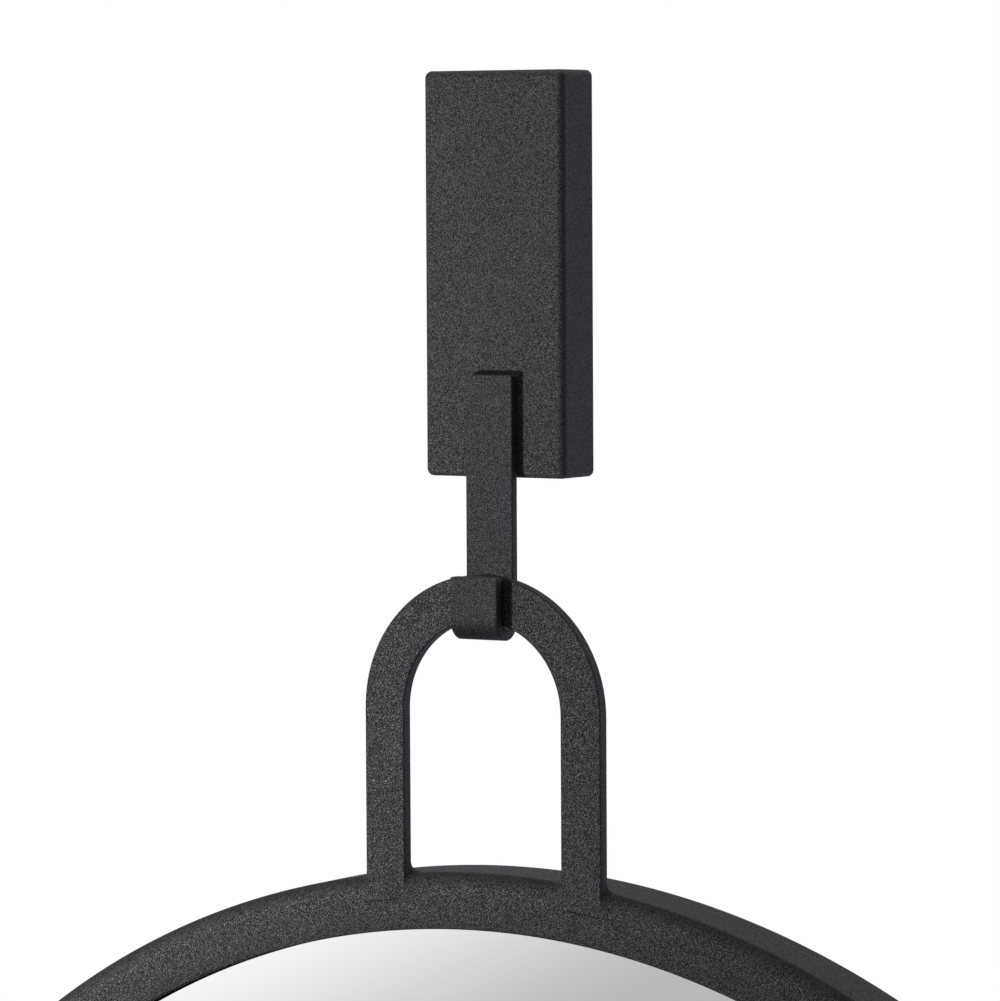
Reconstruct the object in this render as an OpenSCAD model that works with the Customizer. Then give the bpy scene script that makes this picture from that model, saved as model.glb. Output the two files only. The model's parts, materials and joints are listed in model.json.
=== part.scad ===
// Oval wall mirror that hangs by a flat-bar loop on a strap hook.
// A box-shaped cover hides the wall plate that carries the hook.
// Axes: +X right, +Y into the wall, +Z up. The origin lies on the wall plane,
// midway between the two wall screw holes.

/* [Bracket cover] */
// Width of the cover
cover_w = 51; // [46:0.5:60]
// Height of the cover
cover_h = 127; // [120:1:150]
// Depth of the cover, from the wall to its front face
cover_d = 18; // [17:0.5:22]
// Wall thickness of the cover
cover_wall = 2; // [1.6:0.1:2.4]
// Radius of the cover's outside edges
cover_edge_r = 2.25; // [2:0.05:3]

/* [Wall plate] */
// Thickness of the wall plate
plate_t = 3; // [2:0.25:3.5]
// Gap between the wall plate and the cover's side walls
plate_side_gap = 0.5; // [0.3:0.1:0.9]
// Inside radius of the wall plate's bends
plate_bend_r = 1.5; // [1:0.25:2]
// Gap between the bottom flange and the cover's bottom wall
flange_gap = 0.3; // [0.1:0.1:0.6]
// Gap between the flanges' front edges and the doubler behind the cover's face
flange_front_gap = 1; // [0.5:0.1:1.5]
// Radius of the two wall screw holes
wall_hole_r = 2.75; // [2:0.25:3.5]
// Distance between the two wall screw holes
wall_hole_pitch = 84; // [60:1:90]

/* [Strap hook] */
// Width of the strap
strap_w = 17; // [15:0.5:20]
// Thickness of the strap
strap_t = 3.2; // [2.5:0.1:4]
// Length of strap that laps up the cover's front face
strap_lap = 32; // [30:0.5:40]
// Distance from the cover's underside down to the centre of the hook's bend
hook_drop = 44; // [35:0.5:60]
// Gap between the strap and the hook's front lip
throat = 6.5; // [6.3:0.1:8]
// Height of the lip above the centre of the bend
lip_rise = 13.5; // [8:0.5:18]
// Edge radius of the strap
strap_edge_r = 0.5; // [0.2:0.1:0.9]
// Corner radius at the strap's two ends, seen from the front
strap_end_r = 1.1; // [0.5:0.1:2.5]

/* [Hook fasteners] */
// Radius of the two studs welded to the strap
stud_r = 2.5; // [2:0.1:2.8]
// Distance between the studs
stud_pitch = 13; // [11:0.5:15]
// Distance from the strap's top end down to the upper stud
stud_inset = 6; // [5:0.5:8]
// Length of stud that stands past its nut
stud_tail = 1; // [0.5:0.1:1.5]
// Radial clearance of the studs in their holes
stud_clear = 0.25; // [0.1:0.05:0.4]
// Radial clearance of a screw or stud in its nut
thread_clear = 0.05; // [0.02:0.01:0.08]
// Width across flats of the stud nuts
nut_af = 8; // [7:0.1:8.5]
// Thickness of the stud nuts
nut_t = 4; // [3:0.1:4.2]
// Outer radius of the stud washers
washer_r = 5; // [4.8:0.1:5.3]
// Thickness of the washers
washer_t = 1; // [0.6:0.1:1.2]
// Width of the doubler plate
doubler_w = 36; // [26:1:40]
// Thickness of the doubler plate
doubler_t = 3; // [2:0.25:3.5]
// Doubler material left beyond each stud
doubler_margin = 8; // [6:0.5:8.5]

/* [Cover screws] */
// Radius of the cover screws' threads
cover_screw_r = 1.5; // [1.5:0.05:1.75]
// Distance between the two cover screws
cover_screw_pitch = 28; // [24:0.5:32]
// Radius of the cover screws' countersunk heads
cover_head_r = 3; // [2.8:0.05:3.2]
// Depth that the heads are sunk below the cover's underside
cover_head_sink = 0.1; // [0.05:0.05:0.2]
// Radial clearance of the cover screws in the cover and the flange
cover_screw_clear = 0.25; // [0.1:0.05:0.4]
// Width across flats of the hex sockets in the cover screws
cover_socket_af = 2; // [1.5:0.1:2.2]
// Depth of the hex sockets
cover_socket_deep = 1.2; // [0.8:0.1:1.6]
// Width across flats of the weld nuts
weld_nut_af = 6; // [5.5:0.1:7]
// Thickness of the weld nuts
weld_nut_t = 2.6; // [2:0.1:3.2]

/* [Cradle] */
// Radial running gap between the cradle and the hook's bend
cradle_gap = 0.05; // [0.02:0.01:0.08]
// Thickness of the cradle under the middle of the loop
cradle_floor_t = 2.75; // [2.5:0.05:3]
// Gap on each side of the loop in the cradle's slot
slot_gap = 0.05; // [0.02:0.01:0.08]
// Radial running gap between the loop's inner edge and the cradle's floor
floor_gap = 0.05; // [0.02:0.01:0.08]

/* [Hanging loop] */
// Radius of the loop's inner arc
loop_in_r = 28.6; // [25:0.1:32]
// Width of the loop's flat bar
loop_bar_w = 14.4; // [12:0.1:18]
// Thickness of the loop's flat bar
loop_t = 4.2; // [3.6:0.1:4.4]
// Distance from the centre of the loop's arc down to the top of the oval
loop_reach = 50.6; // [40:0.2:70]
// Edge radius of the loop's bar
loop_edge_r = 0.5; // [0.2:0.1:1]
// Radius of the flares where the loop's feet meet the oval
foot_flare_r = 3; // [1:0.25:5]
// Size of the weld behind each foot
weld_r = 3; // [1.5:0.25:4]

/* [Oval frame] */
// Width of the oval frame
oval_w = 762; // [700:1:860]
// Height of the oval frame
oval_h = 1016; // [950:1:1150]
// Outer radius of the oval's top and bottom arcs
end_r = 289; // [270:1:310]
// Width of the frame's front face
face_w = 18; // [15:0.5:24]
// Depth of the frame
frame_d = 23.5; // [22.5:0.5:26]
// Thickness of the frame's metal
frame_t = 2; // [1.5:0.1:2.2]
// Outer radius of the frame's rounded front edge
frame_edge_r = 4; // [3.5:0.1:4.2]

/* [Glass and backing] */
// Thickness of the mirror glass
glass_t = 4; // [3:0.5:4]
// Gap between the frame's outer wall and the edge of the glass
glass_edge_gap = 2.5; // [2.3:0.1:4]
// Thickness of the foam strip between the frame's face and the glass
strip_t = 1; // [0.5:0.1:1.5]
// Width of the foam strip
strip_w = 8; // [5:0.5:9]
// Radial length of glass edge left outside the foam strip
strip_inset = 2; // [1:0.5:4]
// Thickness of the backing board
board_t = 6; // [6:0.5:7]
// Gap between the frame's outer wall and the edge of the board
board_edge_gap = 1.5; // [1:0.1:4]
// Thickness of the adhesive pads between glass and board
pad_t = 1; // [0.5:0.1:1.5]
// Width of each adhesive pad
pad_w = 24; // [12:1:40]
// Distance between the adhesive pads
pad_pitch = 110; // [60:1:120]
// Margin between the ends of the pads and the frame
pad_margin = 60; // [30:1:100]
// Radial play of the glass blocks between glass and frame
block_play = 0.15; // [0.05:0.05:0.25]
// Length of each glass block, along the frame
block_len = 30; // [15:1:45]

/* [Retaining tabs] */
// Length of each tab, along the frame
tab_len = 24; // [18:1:36]
// Reach of each tab over the board
tab_reach = 22; // [19:0.5:30]
// Thickness of the tabs
tab_t = 1.5; // [1.2:0.1:1.8]
// Height of each tab's foot on the frame's wall
tab_foot = 7.5; // [5:0.5:7.5]
// Gap left for the weld between a tab's foot and the frame
tab_gap = 0.1; // [0.05:0.05:0.3]
// Distance from the frame's wall to each tab screw
tab_screw_in = 14; // [11:0.5:14]
// Radius of the holes in the tabs
tab_hole_r = 2.1; // [1.9:0.1:2.5]

/* [Board screws] */
// Radius of the board screws' threads
board_screw_r = 1.75; // [1.5:0.05:1.8]
// Length of thread in the board
board_screw_bite = 5; // [3:0.25:5.25]
// Depth of the pilot holes past the screws' points
pilot_extra = 0.5; // [0.25:0.25:0.5]
// Radius of the board screws' heads
board_head_r = 3.6; // [3:0.1:4]
// Height of the board screws' heads
board_head_h = 2.2; // [1.6:0.1:2.6]
// Width of the cross recess in the heads
cross_w = 0.9; // [0.6:0.1:1.2]
// Length of the cross recess
cross_len = 4; // [3:0.1:4.6]
// Depth of the cross recess
cross_deep = 1.3; // [0.8:0.1:1.5]

/* [Wall bumpers] */
// Distance of the bumpers to the left and right of the oval's centre
bumper_x = 225; // [150:1:240]
// Distance of the bumpers above and below the oval's centre
bumper_z = 300; // [200:1:310]
// Radius of a bumper where it meets the board
bumper_base_r = 10; // [8:0.25:14]
// Radius of a bumper's end at the wall
bumper_tip_r = 8.5; // [7.5:0.25:13]
// Thickness of the bumper's floor under its washer
bumper_floor = 4; // [2.5:0.25:5]
// Radius of the hollow for the screw head
bumper_hollow_r = 5.5; // [5.2:0.1:6]
// Outer radius of the washer in each bumper
bumper_washer_r = 5; // [4.5:0.1:5.1]
// Gap left between the bumpers and the wall
wall_gap = 0.3; // [0.1:0.1:1]

/* [Hidden] */
$fn = 64;
// Segments in a full turn of the large arcs
big_fn = 360;
// How far a cutting shape reaches past what it cuts
cut = 1;

// Heights on the bracket
cover_top = cover_h / 2;
cover_bottom = -cover_h / 2;
strap_top = cover_bottom + strap_lap;
upper_stud_z = strap_top - stud_inset;
lower_stud_z = upper_stud_z - stud_pitch;

// The hook's bend: its centre line runs along X
bend_in_r = throat / 2;
bend_y = -(cover_d + strap_t + bend_in_r);
bend_z = cover_bottom - hook_drop;
lip_top = bend_z + lip_rise;

// Depths inside the cover, all measured from the wall
face_back_y = -(cover_d - cover_wall);
doubler_back_y = face_back_y + doubler_t;
washer_back_y = doubler_back_y + washer_t;
nut_back_y = washer_back_y + nut_t;
stud_len = cover_wall + doubler_t + washer_t + nut_t + stud_tail;
flange_d = -doubler_back_y - flange_front_gap;
flange_hole_y = -(flange_d + plate_t + plate_bend_r) / 2;
flange_bottom_z = cover_bottom + cover_wall + flange_gap;

// The loop's arc is centred under the cradle's floor
arch_z = bend_z - bend_in_r + cradle_floor_t - loop_in_r;
loop_out_r = loop_in_r + loop_bar_w;
front_y = bend_y - loop_t / 2;

// The oval is four tangent arcs: two end arcs and two side arcs
half_w = oval_w / 2;
end_offset = oval_h / 2 - end_r;
side_r = (pow(end_offset, 2) + pow(half_w, 2) - pow(end_r, 2)) / (2 * (half_w - end_r));
side_offset = side_r - half_w;
side_angle = atan2(end_offset, side_offset);
oval_z = arch_z - loop_reach - oval_h / 2;
end_arc_z = oval_z + end_offset;
// In a solid slab the band between the side arcs stops a little short of the
// tangent points, where it still meets the end discs to a few hundredths
seam_short = 5;
// The frame's four bars meet at hairline joints, and weld metal runs through
// each joint a little below the surface
joint_gap = 0.02;
joint_cover = 0.4;
joint_weld_len = 4;

// Depths in the oval frame, all measured from its front face
strip_at = frame_t;
glass_at = strip_at + strip_t;
pad_at = glass_at + glass_t;
board_at = pad_at + pad_t;
board_back = board_at + board_t;
bumper_h = -front_y - wall_gap - board_back;

// Insets from the oval's outer edge
glass_inset = frame_t + glass_edge_gap;
board_inset = frame_t + board_edge_gap;
strip_outer_inset = glass_inset + strip_inset;
foot_floor_r = end_r - frame_edge_r;
tab_inset = frame_t + tab_gap;
tab_screw_inset = frame_t + tab_screw_in;

// Angles of the tabs and of the glass blocks on their arcs
tab_end_angle = 22;
tab_side_angle = 14;
block_end_angle = 16;
block_side_angle = 5;

black_metal = [0.26, 0.26, 0.27];
zinc = [0.75, 0.76, 0.78];
black_nylon = [0.08, 0.08, 0.08];
foam_grey = [0.35, 0.35, 0.36];
glass_silver = [0.86, 0.89, 0.89];
board_brown = [0.45, 0.34, 0.24];
rubber_black = [0.10, 0.10, 0.10];

// Rectangle with rounded corners, centred
module rounded_section(w, h, r) {
    square([w - 2 * r, h], center = true);
    square([w, h - 2 * r], center = true);
    for (sx = [-1, 1], sy = [-1, 1])
        translate([sx * (w / 2 - r), sy * (h / 2 - r)]) circle(r);
}

// Cylinder along Y, from y_from to y_to
module y_cylinder(r, y_from, y_to, fn = $fn) {
    translate([0, y_to, 0]) rotate([90, 0, 0])
        cylinder(r = r, h = y_to - y_from, $fn = fn);
}

// Hexagonal prism along Z, given by its width across flats
module hexagon(af, h) {
    cylinder(r = af / sqrt(3), h = h, $fn = 6);
}

// Box with the corners seen from the front rounded, from y_from to y_to
module front_rounded_box(w, z_from, z_to, r, y_from, y_to) {
    translate([-w / 2, y_from, z_from + r]) cube([w, y_to - y_from, z_to - z_from - 2 * r]);
    translate([-w / 2 + r, y_from, z_from]) cube([w - 2 * r, y_to - y_from, z_to - z_from]);
    for (sx = [-1, 1], z = [z_from + r, z_to - r])
        translate([sx * (w / 2 - r), 0, z]) y_cylinder(r, y_from, y_to);
}

// Places a shape on the oval's plane: its Z runs towards the viewer
module on_oval(z = oval_z) {
    translate([0, front_y, z]) rotate([90, 0, 0]) children();
}

// Puts a child at an angle on one of the oval's arcs, with X pointing outwards
module at_end_arc(side, angle) {
    translate([0, side * end_offset, 0]) rotate([0, 0, side * 90 + angle]) children();
}

module at_side_arc(side, angle) {
    translate([-side * side_offset, 0, 0])
        rotate([0, 0, (side > 0 ? 0 : 180) + angle]) children();
}

// Solid oval slab, from one depth to another, drawn in from the outer edge
module oval_slab(inset, from, to) {
    t = to - from;
    y = end_offset + (end_r - inset) * sin(side_angle) - seam_short * cos(side_angle);
    translate([0, 0, -to]) {
        intersection() {
            translate([-side_offset, 0, 0]) cylinder(r = side_r - inset, h = t, $fn = big_fn);
            translate([side_offset, 0, 0]) cylinder(r = side_r - inset, h = t, $fn = big_fn);
            translate([-oval_w, -y, 0]) cube([2 * oval_w, 2 * y, t]);
        }
        for (s = [-1, 1])
            translate([0, s * end_offset, 0]) cylinder(r = end_r - inset, h = t, $fn = big_fn);
    }
}

// Sweeps a section along the oval, as four bars. The section's X is the
// distance outwards from the oval's outer edge, its Y is the depth, drawn negative.
module oval_bars() {
    end_sweep = 90 - side_angle - arc_angle(joint_gap / 2, end_r);
    side_sweep = side_angle - arc_angle(joint_gap / 2, side_r);
    for (s = [-1, 1]) {
        translate([0, s * end_offset, 0]) rotate([0, 0, s * 90 - end_sweep])
            rotate_extrude(angle = 2 * end_sweep, $fn = big_fn)
                translate([end_r, 0]) children();
        translate([-s * side_offset, 0, 0])
            rotate([0, 0, (s > 0 ? 0 : 180) - side_sweep])
                rotate_extrude(angle = 2 * side_sweep, $fn = big_fn)
                    translate([side_r, 0]) children();
    }
}

// Puts a child on the oval's edge at each joint between two bars
module at_bar_joints() {
    for (mx = [0, 1], my = [0, 1])
        mirror([mx, 0, 0]) mirror([0, my, 0]) translate([0, end_offset, 0])
            rotate([0, 0, side_angle]) translate([end_r, 0, 0]) children();
}

// Angle of an arc, from its length and its radius
function arc_angle(len, r) = len / r * 180 / PI;

// Curved bar on an arc, len long at radius arc_r, between two insets and two depths
module arc_bar(arc_r, len, inset_out, inset_in, from, to) {
    sweep = arc_angle(len, arc_r);
    rotate([0, 0, -sweep / 2]) rotate_extrude(angle = sweep, $fn = big_fn)
        translate([arc_r - inset_in, -to]) square([inset_in - inset_out, to - from]);
}

// Steel plate on the wall, with a flange turned forward at top and bottom
module wall_plate() {
    w = cover_w - 2 * (cover_wall + plate_side_gap);
    top = cover_top - cover_wall;
    corner = plate_t + plate_bend_r;
    color(zinc) difference() {
        translate([-w / 2, 0, 0]) rotate([90, 0, 90]) linear_extrude(w) {
            translate([-plate_t, flange_bottom_z + corner])
                square([plate_t, top - flange_bottom_z - 2 * corner]);
            translate([-flange_d, top - plate_t]) square([flange_d - corner, plate_t]);
            translate([-flange_d, flange_bottom_z]) square([flange_d - corner, plate_t]);
            translate([-corner, top - corner]) quarter_ring(corner, plate_bend_r, 1);
            translate([-corner, flange_bottom_z + corner])
                quarter_ring(corner, plate_bend_r, -1);
        }
        for (z = [-wall_hole_pitch / 2, wall_hole_pitch / 2])
            translate([0, 0, z]) y_cylinder(wall_hole_r, -plate_t - cut, cut);
        for (x = cover_screw_xs())
            translate([x, flange_hole_y, flange_bottom_z - cut])
                cylinder(r = cover_screw_r + cover_screw_clear, h = plate_t + 2 * cut);
    }
}

// Quarter of a flat ring in the +X half, above (up = 1) or below (up = -1)
module quarter_ring(out_r, in_r, up) {
    difference() {
        intersection() {
            circle(out_r);
            translate([0, up > 0 ? 0 : -out_r]) square(out_r);
        }
        circle(in_r);
    }
}

function cover_screw_xs() = [-cover_screw_pitch / 2, cover_screw_pitch / 2];

// Box-shaped cover, open towards the wall, with rounded outside edges
module bracket_cover() {
    r = cover_edge_r;
    color(black_metal) difference() {
        union() {
            front_rounded_box(cover_w, cover_bottom, cover_top, r, -cover_d + r, 0);
            translate([-cover_w / 2 + r, -cover_d, cover_bottom + r])
                cube([cover_w - 2 * r, r, cover_h - 2 * r]);
            for (z = [cover_bottom + r, cover_top - r])
                translate([-cover_w / 2 + r, -cover_d + r, z]) rotate([0, 90, 0])
                    cylinder(r = r, h = cover_w - 2 * r);
            for (sx = [-1, 1]) {
                translate([sx * (cover_w / 2 - r), -cover_d + r, cover_bottom + r])
                    cylinder(r = r, h = cover_h - 2 * r);
                for (z = [cover_bottom + r, cover_top - r])
                    translate([sx * (cover_w / 2 - r), -cover_d + r, z]) sphere(r);
            }
        }
        translate([-cover_w / 2 + cover_wall, -cover_d + cover_wall, cover_bottom + cover_wall])
            cube([cover_w - 2 * cover_wall, cover_d - cover_wall + cut, cover_h - 2 * cover_wall]);
        for (z = [lower_stud_z, upper_stud_z])
            translate([0, 0, z])
                y_cylinder(stud_r + stud_clear, -cover_d - cut, face_back_y + cut);
        for (x = cover_screw_xs())
            translate([x, flange_hole_y, cover_bottom]) {
                cylinder(r = cover_screw_r + cover_screw_clear, h = cover_wall + cut);
                countersink(cover_head_r + cover_head_sink, cover_screw_r + cover_head_sink);
                translate([0, 0, -cut]) cylinder(r = cover_head_r + cover_head_sink, h = cut);
            }
    }
}

// Flat strap that laps the cover, bends forward under the loop and turns up
module strap_hook() {
    color(black_metal) {
        intersection() {
            translate([0, bend_y + bend_in_r + strap_t / 2, bend_z])
                linear_extrude(strap_top - bend_z)
                    rounded_section(strap_w, strap_t, strap_edge_r);
            end_mask(strap_top, bend_y + bend_in_r - cut, -cover_d + cut);
        }
        intersection() {
            translate([0, bend_y - bend_in_r - strap_t / 2, bend_z])
                linear_extrude(lip_rise) rounded_section(strap_w, strap_t, strap_edge_r);
            end_mask(lip_top, bend_y - bend_in_r - strap_t - cut, bend_y - bend_in_r + cut);
        }
        translate([0, bend_y, bend_z]) rotate([0, 90, 0]) rotate([0, 0, -90])
            rotate_extrude(angle = 180)
                translate([bend_in_r + strap_t / 2, 0])
                    rounded_section(strap_t, strap_w, strap_edge_r);
    }
}

// Keeps a strap end's rounded corners, from the bend up to z_top
module end_mask(z_top, y_from, y_to) {
    front_rounded_box(strap_w, bend_z - 2 * strap_end_r, z_top, strap_end_r, y_from, y_to);
}

// Studs welded to the back of the strap
module hook_studs() {
    color(zinc) for (z = [lower_stud_z, upper_stud_z])
        translate([0, 0, z]) y_cylinder(stud_r, -cover_d, -cover_d + stud_len);
}

// Plate that spreads the hook's load over the cover's face
module hook_doubler() {
    h = stud_pitch + 2 * doubler_margin;
    color(zinc) difference() {
        translate([-doubler_w / 2, face_back_y, lower_stud_z - doubler_margin])
            cube([doubler_w, doubler_t, h]);
        for (z = [lower_stud_z, upper_stud_z])
            translate([0, 0, z])
                y_cylinder(stud_r + stud_clear, face_back_y - cut, doubler_back_y + cut);
    }
}

module stud_washers() {
    color(zinc) for (z = [lower_stud_z, upper_stud_z])
        translate([0, 0, z]) difference() {
            y_cylinder(washer_r, doubler_back_y, washer_back_y);
            y_cylinder(stud_r + stud_clear, doubler_back_y - cut, washer_back_y + cut);
        }
}

module stud_nuts() {
    color(zinc) for (z = [lower_stud_z, upper_stud_z])
        translate([0, nut_back_y, z]) rotate([90, 0, 0]) difference() {
            hexagon(nut_af, nut_t);
            translate([0, 0, -cut]) cylinder(r = stud_r + thread_clear, h = nut_t + 2 * cut);
        }
}

// Nuts welded on the wall plate's bottom flange
module weld_nuts() {
    color(zinc) for (x = cover_screw_xs())
        translate([x, flange_hole_y, flange_bottom_z + plate_t]) difference() {
            rotate([0, 0, 30]) hexagon(weld_nut_af, weld_nut_t);
            translate([0, 0, -cut])
                cylinder(r = cover_screw_r + thread_clear, h = weld_nut_t + 2 * cut);
        }
}

// Right-angled cone from one radius to a smaller one, widest at Z = 0
module countersink(r_wide, r_narrow) {
    cylinder(r1 = r_wide, r2 = r_narrow, h = r_wide - r_narrow);
}

// Countersunk screws that hold the cover to the bottom flange
module cover_screws() {
    reach = cover_wall + flange_gap + plate_t + weld_nut_t;
    color(zinc) for (x = cover_screw_xs())
        translate([x, flange_hole_y, cover_bottom + cover_head_sink]) difference() {
            union() {
                cylinder(r = cover_screw_r, h = reach);
                countersink(cover_head_r, cover_screw_r);
            }
            translate([0, 0, -cut]) hexagon(cover_socket_af, cut + cover_socket_deep);
        }
}

// Half-round nylon cradle: it rocks in the hook's bend and the loop slides in it
module hook_cradle() {
    r = bend_in_r - cradle_gap;
    slot = loop_t + 2 * slot_gap;
    color(black_nylon) difference() {
        translate([-strap_w / 2, bend_y, bend_z]) rotate([0, 90, 0])
            cylinder(r = r, h = strap_w);
        translate([-strap_w, bend_y - throat, bend_z]) cube([2 * strap_w, 2 * throat, throat]);
        difference() {
            translate([-strap_w, bend_y - slot / 2, bend_z - throat])
                cube([2 * strap_w, slot, 2 * throat]);
            translate([0, 0, arch_z])
                y_cylinder(loop_in_r - floor_gap, bend_y - throat, bend_y + throat, big_fn);
        }
    }
}

// Outer limits of one foot: where its flares touch the oval's top arc
function flare_x(x, dir) = (x + dir * foot_flare_r) * end_r / (end_r + foot_flare_r);
function flare_z(x, dir) =
    end_arc_z + sqrt(pow(end_r + foot_flare_r, 2) - pow(x + dir * foot_flare_r, 2));

// Right-hand foot with its two flares, before it is cut to the oval
module foot_block(y_from, y_to) {
    depth = y_to - y_from;
    low = end_arc_z + sqrt(pow(foot_floor_r, 2) - pow(loop_out_r + foot_flare_r, 2)) - cut;
    mid = (loop_in_r + loop_out_r) / 2;
    difference() {
        union() {
            translate([flare_x(loop_in_r, -1), y_from, low])
                cube([mid - flare_x(loop_in_r, -1), depth, flare_z(loop_in_r, -1) - low]);
            translate([mid, y_from, low])
                cube([flare_x(loop_out_r, 1) - mid, depth, flare_z(loop_out_r, 1) - low]);
        }
        translate([loop_in_r - foot_flare_r, 0, flare_z(loop_in_r, -1)])
            y_cylinder(foot_flare_r, y_from - cut, y_to + cut);
        translate([loop_out_r + foot_flare_r, 0, flare_z(loop_out_r, 1)])
            y_cylinder(foot_flare_r, y_from - cut, y_to + cut);
    }
}

// Flat-bar loop: an arch on two legs, its feet let into the oval's front edge
module hanging_loop() {
    color(black_metal) difference() {
        union() {
            translate([0, bend_y, arch_z]) rotate([90, 0, 0])
                rotate_extrude(angle = 180, $fn = big_fn)
                    translate([loop_in_r + loop_bar_w / 2, 0])
                        rounded_section(loop_bar_w, loop_t, loop_edge_r);
            for (s = [-1, 1])
                translate([s * (loop_in_r + loop_bar_w / 2), bend_y, arch_z - loop_reach - loop_bar_w])
                    linear_extrude(loop_reach + loop_bar_w)
                        rounded_section(loop_bar_w, loop_t, loop_edge_r);
            for (s = [0, 1])
                mirror([s, 0, 0]) foot_block(front_y, front_y + loop_t);
        }
        translate([0, 0, end_arc_z])
            y_cylinder(foot_floor_r, front_y - cut, front_y + loop_t + cut, big_fn);
    }
}

// Weld beads behind the loop's two feet
module loop_welds() {
    from = asin(loop_in_r / end_r);
    to = asin(loop_out_r / end_r);
    color(black_metal) on_oval() for (s = [0, 1])
        mirror([s, 0, 0]) translate([0, end_offset, 0]) rotate([0, 0, 90 - to])
            rotate_extrude(angle = to - from, $fn = big_fn)
                translate([end_r, -loop_t]) intersection() {
                    circle(weld_r);
                    translate([0, -weld_r]) square(weld_r);
                }
}

// Weld metal inside a joint: one run in the face and one in the outer wall
module joint_weld() {
    translate([joint_cover - face_w, -joint_weld_len / 2, joint_cover - frame_t])
        cube([face_w - frame_edge_r - joint_cover, joint_weld_len, frame_t - 2 * joint_cover]);
    translate([joint_cover - frame_t, -joint_weld_len / 2, joint_cover - frame_d])
        cube([frame_t - 2 * joint_cover, joint_weld_len, frame_d - frame_edge_r - joint_cover]);
}

// Section of the oval frame: a face, a rounded edge and an outer wall
module frame_section() {
    translate([-face_w, -frame_t]) square([face_w - frame_edge_r, frame_t]);
    translate([-frame_t, -frame_d]) square([frame_t, frame_d - frame_edge_r]);
    translate([-frame_edge_r, -frame_edge_r])
        quarter_ring(frame_edge_r, frame_edge_r - frame_t, 1);
}

// Oval frame, with a recess in its front edge for each foot of the loop
module oval_frame() {
    color(black_metal) difference() {
        on_oval() {
            oval_bars() frame_section();
            at_bar_joints() joint_weld();
        }
        for (s = [0, 1])
            mirror([s, 0, 0]) intersection() {
                foot_recess();
                difference() {
                    translate([0, 0, end_arc_z])
                        y_cylinder(end_r + cut, front_y - cut, front_y + loop_t, big_fn);
                    translate([0, 0, end_arc_z])
                        y_cylinder(foot_floor_r, front_y - 2 * cut, front_y + loop_t + cut, big_fn);
                }
            }
    }
}

// Space that the right-hand foot takes in the frame
module foot_recess() {
    x_in = flare_x(loop_in_r, -1);
    x_out = flare_x(loop_out_r, 1);
    translate([x_in, front_y - cut, end_arc_z]) cube([x_out - x_in, loop_t + cut, end_r + cut]);
}

// Foam strip that the glass is pressed against
module glazing_strip() {
    color(foam_grey) on_oval() difference() {
        oval_slab(strip_outer_inset, strip_at, glass_at);
        oval_slab(strip_outer_inset + strip_w, strip_at - cut, glass_at + cut);
    }
}

module mirror_glass() {
    color(glass_silver) on_oval() oval_slab(glass_inset, glass_at, pad_at);
}

// Rubber blocks that centre the glass in the frame
module glass_blocks() {
    out = frame_t + block_play;
    in = glass_inset - block_play;
    color(rubber_black) on_oval() {
        for (s = [-1, 1], a = [-block_end_angle, block_end_angle])
            at_end_arc(s, a) arc_bar(end_r, block_len, out, in, frame_edge_r, pad_at);
        for (s = [-1, 1], a = [-block_side_angle, block_side_angle])
            at_side_arc(s, a) arc_bar(side_r, block_len, out, in, frame_edge_r, pad_at);
    }
}

// Strips of double-sided foam between the glass and the board
module adhesive_pads() {
    n = floor((half_w - pad_margin - pad_w / 2) / pad_pitch);
    color(foam_grey) on_oval() intersection() {
        for (i = [-n:n])
            translate([i * pad_pitch - pad_w / 2, -oval_h, -board_at])
                cube([pad_w, 2 * oval_h, pad_t]);
        oval_slab(pad_margin, pad_at, board_at);
    }
}

// Board behind the glass, with a pilot hole for each screw
module backing_board() {
    color(board_brown) on_oval() difference() {
        oval_slab(board_inset, board_at, board_back);
        at_tabs() translate([-tab_screw_inset, 0, 0]) pilot_hole();
        at_bumpers() pilot_hole();
    }
}

module pilot_hole() {
    translate([0, 0, -board_back - cut])
        cylinder(r = board_screw_r + thread_clear, h = board_screw_bite + pilot_extra + cut);
}

// Puts a child at each tab's place, on the oval's outer edge
module at_tabs() {
    for (s = [-1, 1], a = [-tab_end_angle, tab_end_angle])
        at_end_arc(s, a) translate([end_r, 0, 0]) children();
    for (s = [-1, 1], a = [-tab_side_angle, tab_side_angle])
        at_side_arc(s, a) translate([side_r, 0, 0]) children();
}

module at_bumpers() {
    for (sx = [-1, 1], sz = [-1, 1])
        translate([sx * bumper_x, sz * bumper_z, 0]) children();
}

// One tab: a foot on the frame's wall and a plate over the board
module tab(arc_r) {
    difference() {
        union() {
            arc_bar(arc_r, tab_len, tab_inset, tab_inset + tab_t, board_back, board_back + tab_foot);
            arc_bar(arc_r, tab_len, tab_inset, tab_inset + tab_reach, board_back, board_back + tab_t);
        }
        translate([arc_r - tab_screw_inset, 0, -board_back - tab_t - cut])
            cylinder(r = tab_hole_r, h = tab_t + 2 * cut);
    }
}

// Tabs welded inside the frame, which hold the board
module retaining_tabs() {
    color(black_metal) on_oval() {
        for (s = [-1, 1], a = [-tab_end_angle, tab_end_angle])
            at_end_arc(s, a) tab(end_r);
        for (s = [-1, 1], a = [-tab_side_angle, tab_side_angle])
            at_side_arc(s, a) tab(side_r);
    }
}

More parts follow.
